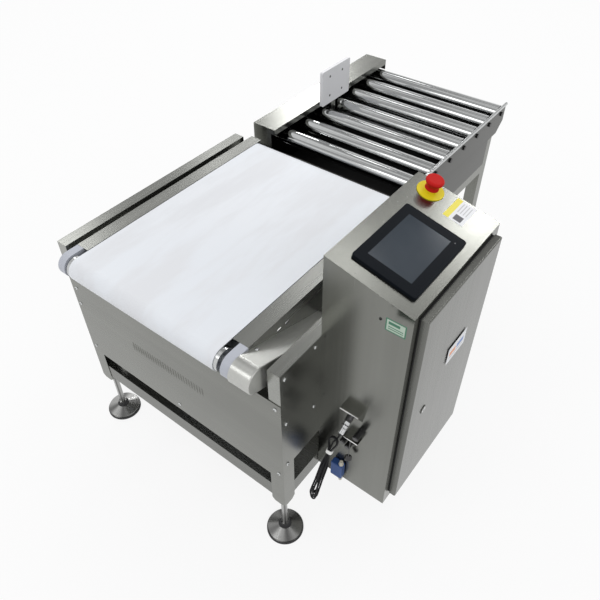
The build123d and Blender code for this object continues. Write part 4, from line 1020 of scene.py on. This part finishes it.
@dataclass
class Cabinet:
    """Control cabinet: stickers on its top, side and door, and the lamp on the operator panel."""

    front_top: float = 857.0 * MM
    top_label: tuple = (429.0, 143.5)
    top_label_size: tuple = (70.0, 47.0)
    side_label: tuple = (-194.5, 842.0)
    side_label_size: tuple = (42.0, 31.0)
    door_label: tuple = (318.0, 625.0)
    door_label_size: tuple = (84.0, 50.0)
    rivet: tuple = (-163.0, 847.0)
    rivet_size: tuple = (3.2, 2.5)
    lamp: tuple = (78.0, -58.0, 0.2)
    lamp_profile: tuple = ((1.3, 0), (1.2, 0.4), (0.7, 0.8), (0.0, 0.9))
    paper: Colour = (0.74, 0.75, 0.77)

    def build(self) -> None:
        """Builds the stickers, the rivet and the lamp."""
        low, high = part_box("cabinet_shell")
        slope = math.atan2(high.z - self.front_top, high.y - low.y)
        self.normal = (0, -math.sin(slope), math.cos(slope))
        self.up = (0, math.cos(slope), math.sin(slope))
        self.front = low.y
        self.top_sticker()
        self.side_sticker(low.x)
        self.side_rivet(low.x)
        self.door_sticker(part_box("cabinet_door")[0].y)
        self.panel_lamp()

    def top_place(self, x: float, depth: float) -> Place:
        """Frame on the sloped top.

        Args:
            x: Its place in X.
            depth: Its distance behind the front edge, along Y.

        Returns:
            The frame, with X along the edge.
        """
        rise = depth * self.up[2] / self.up[1]
        origin = [x, self.front + depth, self.front_top + rise]
        return Place.facing(origin, self.normal, (1, 0, 0))

    def top_sticker(self) -> None:
        """White sticker with a yellow band, a dark square and grey bars."""
        grey, bar_height = (0.45, 0.45, 0.46), 0.045
        bars = (Block(0.44, 0.9, v, v + bar_height, grey) for v in (0.14, 0.28, 0.42, 0.56))
        blocks = (
            Block(0.0, 1.0, 0.72, 1.0, (0.76, 0.66, 0.04)),
            Block(0.08, 0.34, 0.16, 0.56, (0.05, 0.05, 0.06)),
            *bars,
        )
        finish = Printed("label_yellow_band", self.paper, 0.35, blocks)
        x, back = (v * MM for v in self.top_label)
        place = self.top_place(x, -self.front - back)
        sticker("cabinet_top_label", place, mm(*self.top_label_size), finish, MACHINE)

    def side_sticker(self, face: float) -> None:
        """Pale green sticker in a dark green border.

        Args:
            face: The cabinet's infeed face in X.
        """
        green, pale = (0.035, 0.16, 0.09), (0.42, 0.52, 0.43)
        bars = (Block(0.14, 0.86, v, v + 0.07, green) for v in (0.2, 0.36))
        blocks = (
            Block(0.06, 0.94, 0.08, 0.92, pale),
            Block(0.14, 0.7, 0.58, 0.8, green),
            *bars,
        )
        finish = Printed("label_green_border", green, 0.4, blocks)
        y, z = (v * MM for v in self.side_label)
        place = Place.facing([face, y, z], (-1, 0, 0), (0, -1, 0))
        sticker("cabinet_side_label", place, mm(*self.side_label_size), finish, MACHINE)

    def side_rivet(self, face: float) -> None:
        """Dark rivet beside the green sticker.

        Args:
            face: The cabinet's infeed face in X.
        """
        y, z = (v * MM for v in self.rivet)
        rivet = Mould("cabinet_rivet")
        place = Place.facing([face, y, z], (-1, 0, 0), (0, 1, 0))
        socket_screw(rivet, place, *mm(*self.rivet_size))
        rivet.build(MACHINE, Finishes.black_screw, "black_screw")

    def door_sticker(self, face: float) -> None:
        """White sticker on the door with an orange and a blue block.

        Args:
            face: The door's outer face in Y.
        """
        blocks = (
            Block(0.1, 0.44, 0.4, 0.66, (0.72, 0.24, 0.08)),
            Block(0.5, 0.88, 0.4, 0.66, (0.09, 0.2, 0.5)),
            Block(0.1, 0.88, 0.22, 0.3, (0.45, 0.46, 0.47)),
        )
        finish = Printed("label_two_blocks", self.paper, 0.35, blocks)
        x, z = (v * MM for v in self.door_label)
        place = Place.facing([x, face, z], (0, -1, 0), (1, 0, 0))
        sticker("door_label", place, mm(*self.door_label_size), finish, "cabinet_door")

    def panel_lamp(self) -> None:
        """Small clear lamp on the operator panel's rim."""
        low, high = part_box("screen_glass")
        place = Place.facing((low + high) / 2, self.normal, (1, 0, 0)).at(*mm(*self.lamp))
        dome = turned(np.array(self.lamp_profile) * MM, 16)
        lamp = Mould("panel_lamp").grid(place.world(dome))
        lamp.build(MACHINE, Finishes.grey, "grey_plastic")


@dataclass
class SignalLead:
    """Signal lead: it leaves its plug, hangs down and is folded into a tied hank.

    All its sizes are millimetres, but for the diameter.
    """

    diameter: float = 4.0 * MM
    exit: tuple = (65.18, -114.0, 472.44)
    straight: float = 9.0
    plug_lean: float = 31.08
    hank_top: tuple = (44.98, -108.5, 455.04)
    hank_lean: float = 25.9
    hank_swing: float = 3.2
    hank_length: float = 158.0
    tie_at: float = 18.0
    tie_reach: float = 6.0
    tip_gap: float = 4.0
    turns: tuple = (
        (2.6, 22.0, -2.8, 0.0),
        (8.2, 0.0, -1.4, 5.0),
        (8.2, 45.0, 0.0, 10.0),
        (8.2, 90.0, 1.4, 15.0),
        (8.2, 135.0, 2.8, 20.0),
    )
    run_points: int = 23
    head_rise: float = 9.0
    head_radius: float = 11.0
    bunch_radius: float = 2.4
    fold_radius: float = 9.4
    flare: float = 36.0
    spread: float = 44.0

    @staticmethod
    def eased(value: np.ndarray, low: float, high: float) -> np.ndarray:
        """Smooth step: 3 t squared minus 2 t cubed, where t runs from 0 at low to 1 at high."""
        share = np.clip((value - low) / (high - low), 0, 1)
        return share * share * (3 - 2 * share)

    def run(self, side: int, number: int) -> np.ndarray:
        """One run of a turn from the head of the hank to its fold below.

        Above the tie the turns lie in one plane, layer behind layer, and close in on the tie by
        a smooth step. Below it each turn opens to its radius in a plane of its own through the
        hank's axis, turned by its angle, and then to the fold's radius. A turn's numbers are its
        radius, its angle, its layer above the tie and how far its fold lies above the lowest.

        Args:
            side: 1 for one half of the turn, -1 for the other.
            number: The turn, counted from the back.

        Returns:
            Points across, through and along the hank, shape (n, 3), in millimetres.
        """
        radius, angle, layer, shift = self.turns[number]
        angle = math.radians(angle)
        bottom = self.hank_length - self.tip_gap - self.fold_radius - shift
        station = np.linspace(-self.head_rise, bottom, self.run_points)
        head = 1 - self.eased(station, -self.head_rise, self.tie_at)
        below = self.eased(station, self.tie_at, self.tie_at + self.spread)
        flat = self.bunch_radius + (self.head_radius - self.bunch_radius) * head
        flare = self.eased(station, bottom - self.flare, bottom)
        wide = radius + (self.fold_radius - radius) * flare
        across = side * (flat * (1 - below) + wide * math.cos(angle) * below)
        through = layer * (1 - below) + side * wide * math.sin(angle) * below
        return np.stack([across, through, station], -1)

    @staticmethod
    def fold(start: np.ndarray, end: np.ndarray, way: int) -> np.ndarray:
        """Half circle between two runs: the middle plus cosine from start to end and sine along.

        Args:
            start: Last point of the run before.
            end: First point of the run after.
            way: 1 for a fold below, -1 for one above.

        Returns:
            Five points, shape (5, 3).
        """
        angle = np.radians(np.arange(30, 180, 30))[:, None]
        points = start + (end - start) * (1 - np.cos(angle)) / 2
        points[:, 2] += way * 0.5 * np.linalg.norm(end - start) * np.sin(angle[:, 0])
        return points

    def hank_points(self) -> np.ndarray:
        """The whole hank: runs down and up, joined by half circles at its ends.

        The first run starts and the last one ends under the tie.

        Returns:
            Points across, through and along the hank, shape (n, 3), in millimetres.
        """
        points: list[np.ndarray] = []
        last = len(self.turns) - 1
        for number in range(len(self.turns)):
            down, back = self.run(1, number), self.run(-1, number)[::-1]
            if number == 0:
                down = down[down[:, 2] > self.tie_at - self.tie_reach]
            if number == last:
                back = back[back[:, 2] > self.tie_at - self.tie_reach]
            points += [down, self.fold(down[-1], back[0], 1), back]
            if number < last:
                points.append(self.fold(back[-1], self.run(1, number + 1)[0], -1))
        return np.concatenate(points)

    def build(self) -> None:
        angles = (self.hank_lean, self.hank_swing, self.plug_lean)
        lean, swing, plug = (math.radians(angle) for angle in angles)
        aside = math.sin(lean)
        along = np.array([-aside * math.cos(swing), aside * math.sin(swing), -math.cos(lean)])
        out = np.array([-math.cos(plug), 0.0, -math.sin(plug)])
        start, top = np.array(self.exit), np.array(self.hank_top)
        place = Place.facing(top * MM, tuple(along), (0, 1, 0))
        route = np.stack([start, start + out * self.straight, top - along * self.straight, top])
        points = np.concatenate([route * MM, place.world(self.hank_points() * MM)])
        curve = bpy.data.curves.new("signal_lead_cord", "CURVE")
        curve.dimensions = "3D"
        curve.bevel_depth = self.diameter / 2
        curve.bevel_resolution = 3
        curve.resolution_u = 4
        curve.use_fill_caps = True
        spline = curve.splines.new("NURBS")
        spline.points.add(len(points) - 1)
        spline.points.foreach_set("co", np.insert(points, 3, 1.0, axis=1).ravel())
        spline.order_u = 3
        spline.use_endpoint_u = True
        cord = bpy.data.objects.new("signal_lead_cord", curve)
        bpy.context.scene.collection.objects.link(cord)
        curve.materials.append(Finishes.jacket.material())
        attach(cord, MACHINE)
        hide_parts("signal_lead", "lead_hank")


@dataclass
class Studio:
    """Camera, soft lamps, pale floor and the world.

    The camera's place is in millimetres. A lamp's row is its place, its two sides and its power,
    in metres and watts.
    """

    camera_place: tuple = (-586.7, -513.5, 1636.5)
    heading: float = 37.815
    tilt: float = -43.686
    roll: float = -0.455
    focal_pixels: float = 616.42
    centre_pixel: tuple = (300.18, 291.28)
    frame_pixels: int = 600
    sensor: float = 36.0
    floor_size: float = 40.0
    floor_glow: float = 0.86
    paper: Colour = (0.8, 0.8, 0.8)
    white: Colour = (1.0, 1.0, 1.0)
    ceiling: tuple[Colour, Colour] = ((0.36, 0.36, 0.36), (0.95, 0.95, 0.95))
    soft: tuple[Colour, Colour] = ((0.62, 0.62, 0.63), (1.02, 1.02, 1.03))
    cloud_scale: float = 3.2
    cloud_edges: tuple[float, float] = (0.4, 0.6)
    ceiling_edges: tuple[float, float] = (0.2, 0.6)
    aim: tuple = (0.6, 0.3, 0.6)
    lamps: tuple = (
        ((4.75, 3.5, 3.2), 0.7, 0.7, 20.0),
        ((3.5, 3.85, 3.2), 0.4, 0.4, 2.0),
        ((1.35, 3.55, 3.2), 0.7, 0.6, 5.0),
        ((3.4, -0.35, 3.2), 0.5, 0.4, 10.0),
        ((2.0, 0.1, 3.2), 0.4, 0.3, 2.0),
        ((2.55, 1.75, 3.2), 0.35, 0.3, 1.6),
        ((-2.4, 1.2, 3.0), 1.6, 1.2, 16.0),
        ((-0.6, -2.8, 2.6), 1.8, 1.0, 8.0),
    )

    def build(self) -> None:
        """Sets up the whole studio."""
        self.camera()
        self.world()
        self.floor()
        for number, (place, width, depth, power) in enumerate(self.lamps):
            self.lamp(f"soft_lamp_{number}", place, width, depth, power)
        bpy.context.scene.view_settings.view_transform = "Standard"

    def camera(self) -> None:
        """Camera at the photograph's place: the view's axes from heading, tilt and roll."""
        data = bpy.data.cameras.new("camera")
        data.sensor_fit = "HORIZONTAL"
        data.sensor_width = self.sensor
        data.lens = self.focal_pixels / self.frame_pixels * self.sensor
        data.shift_x = (self.frame_pixels / 2 - self.centre_pixel[0]) / self.frame_pixels
        data.shift_y = (self.centre_pixel[1] - self.frame_pixels / 2) / self.frame_pixels
        heading, tilt, roll = (math.radians(a) for a in (self.heading, self.tilt, self.roll))
        level_share = math.cos(tilt)
        forward = Vector(
            (math.cos(heading) * level_share, math.sin(heading) * level_share, math.sin(tilt))
        )
        level = Vector((math.sin(heading), -math.cos(heading), 0))
        upright = level.cross(forward)
        right = level * math.cos(roll) + upright * math.sin(roll)
        up = right.cross(forward)
        turn = Matrix((right, up, -forward)).transposed().to_4x4()
        camera = bpy.data.objects.new("camera", data)
        camera.matrix_world = Matrix.Translation(Vector(mm(*self.camera_place))) @ turn
        data.clip_start, data.clip_end = 0.05, 200.0
        bpy.context.scene.collection.objects.link(camera)
        bpy.context.scene.camera = camera

    def lamp(self, name: str, place: tuple, width: float, depth: float, power: float) -> None:
        """Area lamp that faces the middle of the object.

        Args:
            name: Its name.
            place: Its place in metres.
            width: Its width.
            depth: Its other side.
            power: Its power in watts.
        """
        data = bpy.data.lights.new(name, "AREA")
        data.shape = "RECTANGLE"
        data.size, data.size_y = width, depth
        data.energy = power
        lamp = bpy.data.objects.new(name, data)
        turn = (Vector(self.aim) - Vector(place)).to_track_quat("-Z", "Y").to_matrix().to_4x4()
        lamp.matrix_world = Matrix.Translation(Vector(place)) @ turn
        bpy.context.scene.collection.objects.link(lamp)

    @staticmethod
    def seen(graph: Graph) -> Wire:
        """Rays that show the background: straight from the camera, mirrored or through glass.

        Args:
            graph: The node tree that asks.

        Returns:
            1 for such a ray, else 0.
        """
        path = graph.node("ShaderNodeLightPath")
        names = ("Is Camera Ray", "Is Glossy Ray", "Is Transmission Ray")
        camera, mirrored, through = (graph.wire(path, name) for name in names)
        return camera.math("MAXIMUM", mirrored).math("MAXIMUM", through)

    def world(self) -> None:
        """White round the horizon, a dim ceiling above it, and an even pale light for the rest."""
        world = bpy.data.worlds.new("studio")
        bpy.context.scene.world = world
        world.use_nodes = True
        graph = Graph(world.node_tree)
        direction = graph.wire(graph.node("ShaderNodeTexCoord"), "Generated")
        _, _, up = graph.axes(direction)
        cloud = graph.noise(direction, self.cloud_scale)
        ceiling = graph.blend(cloud.ramp(*self.cloud_edges), *self.ceiling)
        shown = graph.blend(up.ramp(*self.ceiling_edges), self.white, ceiling)
        soft = graph.blend(up.ramp(0.0, 1.0), *self.soft)
        colour = graph.blend(self.seen(graph), soft, shown)
        background = graph.node("ShaderNodeBackground", None, {"Color": colour, "Strength": 1.0})
        graph.node("ShaderNodeOutputWorld", None, {"Surface": graph.wire(background)})

    def floor(self) -> None:
        """Pale floor that renders white where no shadow lies."""
        half = self.floor_size / 2
        mesh = bpy.data.meshes.new("floor")
        corners = [(-half, -half, 0), (half, -half, 0), (half, half, 0), (-half, half, 0)]
        mesh.from_pydata(corners, [], [(0, 1, 2, 3)])
        floor = bpy.data.objects.new("floor", mesh)
        bpy.context.scene.collection.objects.link(floor)
        material = bpy.data.materials.new("floor_paper")
        material.use_nodes = True
        graph = Graph(material.node_tree)
        paper = graph.node("ShaderNodeBsdfDiffuse", None, {"Color": (*self.paper, 1.0)})
        light = {"Color": (*self.white, 1.0), "Strength": 1.0}
        glow = graph.node("ShaderNodeEmission", None, light)
        share = self.seen(graph) * self.floor_glow
        sockets = {0: share, 1: graph.wire(paper), 2: graph.wire(glow)}
        mix = graph.node("ShaderNodeMixShader", None, sockets)
        graph.node("ShaderNodeOutputMaterial", None, {"Surface": graph.wire(mix)})
        mesh.materials.append(material)


def dress_nodes() -> None:
    """Gives every CAD node its finish."""
    for name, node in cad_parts.items():
        if name.startswith("foot_"):
            low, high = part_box(name)
            middle = (low + high) / 2
            finish = Foot(f"levelling_{name}", (0.5, 0.5, 0.49), 0.24, centre=(middle.x, middle.y))
        elif name.startswith("roller_") and name[-1].isdigit():
            finish = Finishes.tube
        else:
            finish = NODE_FINISHES.get(name)
        if finish is None:
            continue
        for slot in node.material_slots:
            slot.material = finish.material()
        log.info("%s: %s", name, finish.name)


def main() -> None:
    """Builds the camera and the cord first, and then the rest."""
    logging.basicConfig(level=logging.INFO, format="%(name)s: %(message)s")
    Studio().build()
    SignalLead().build()
    dress_nodes()
    WeighUnit().build()
    RejectTable().build()
    Cabinet().build()


if __name__ == "__main__":
    main()
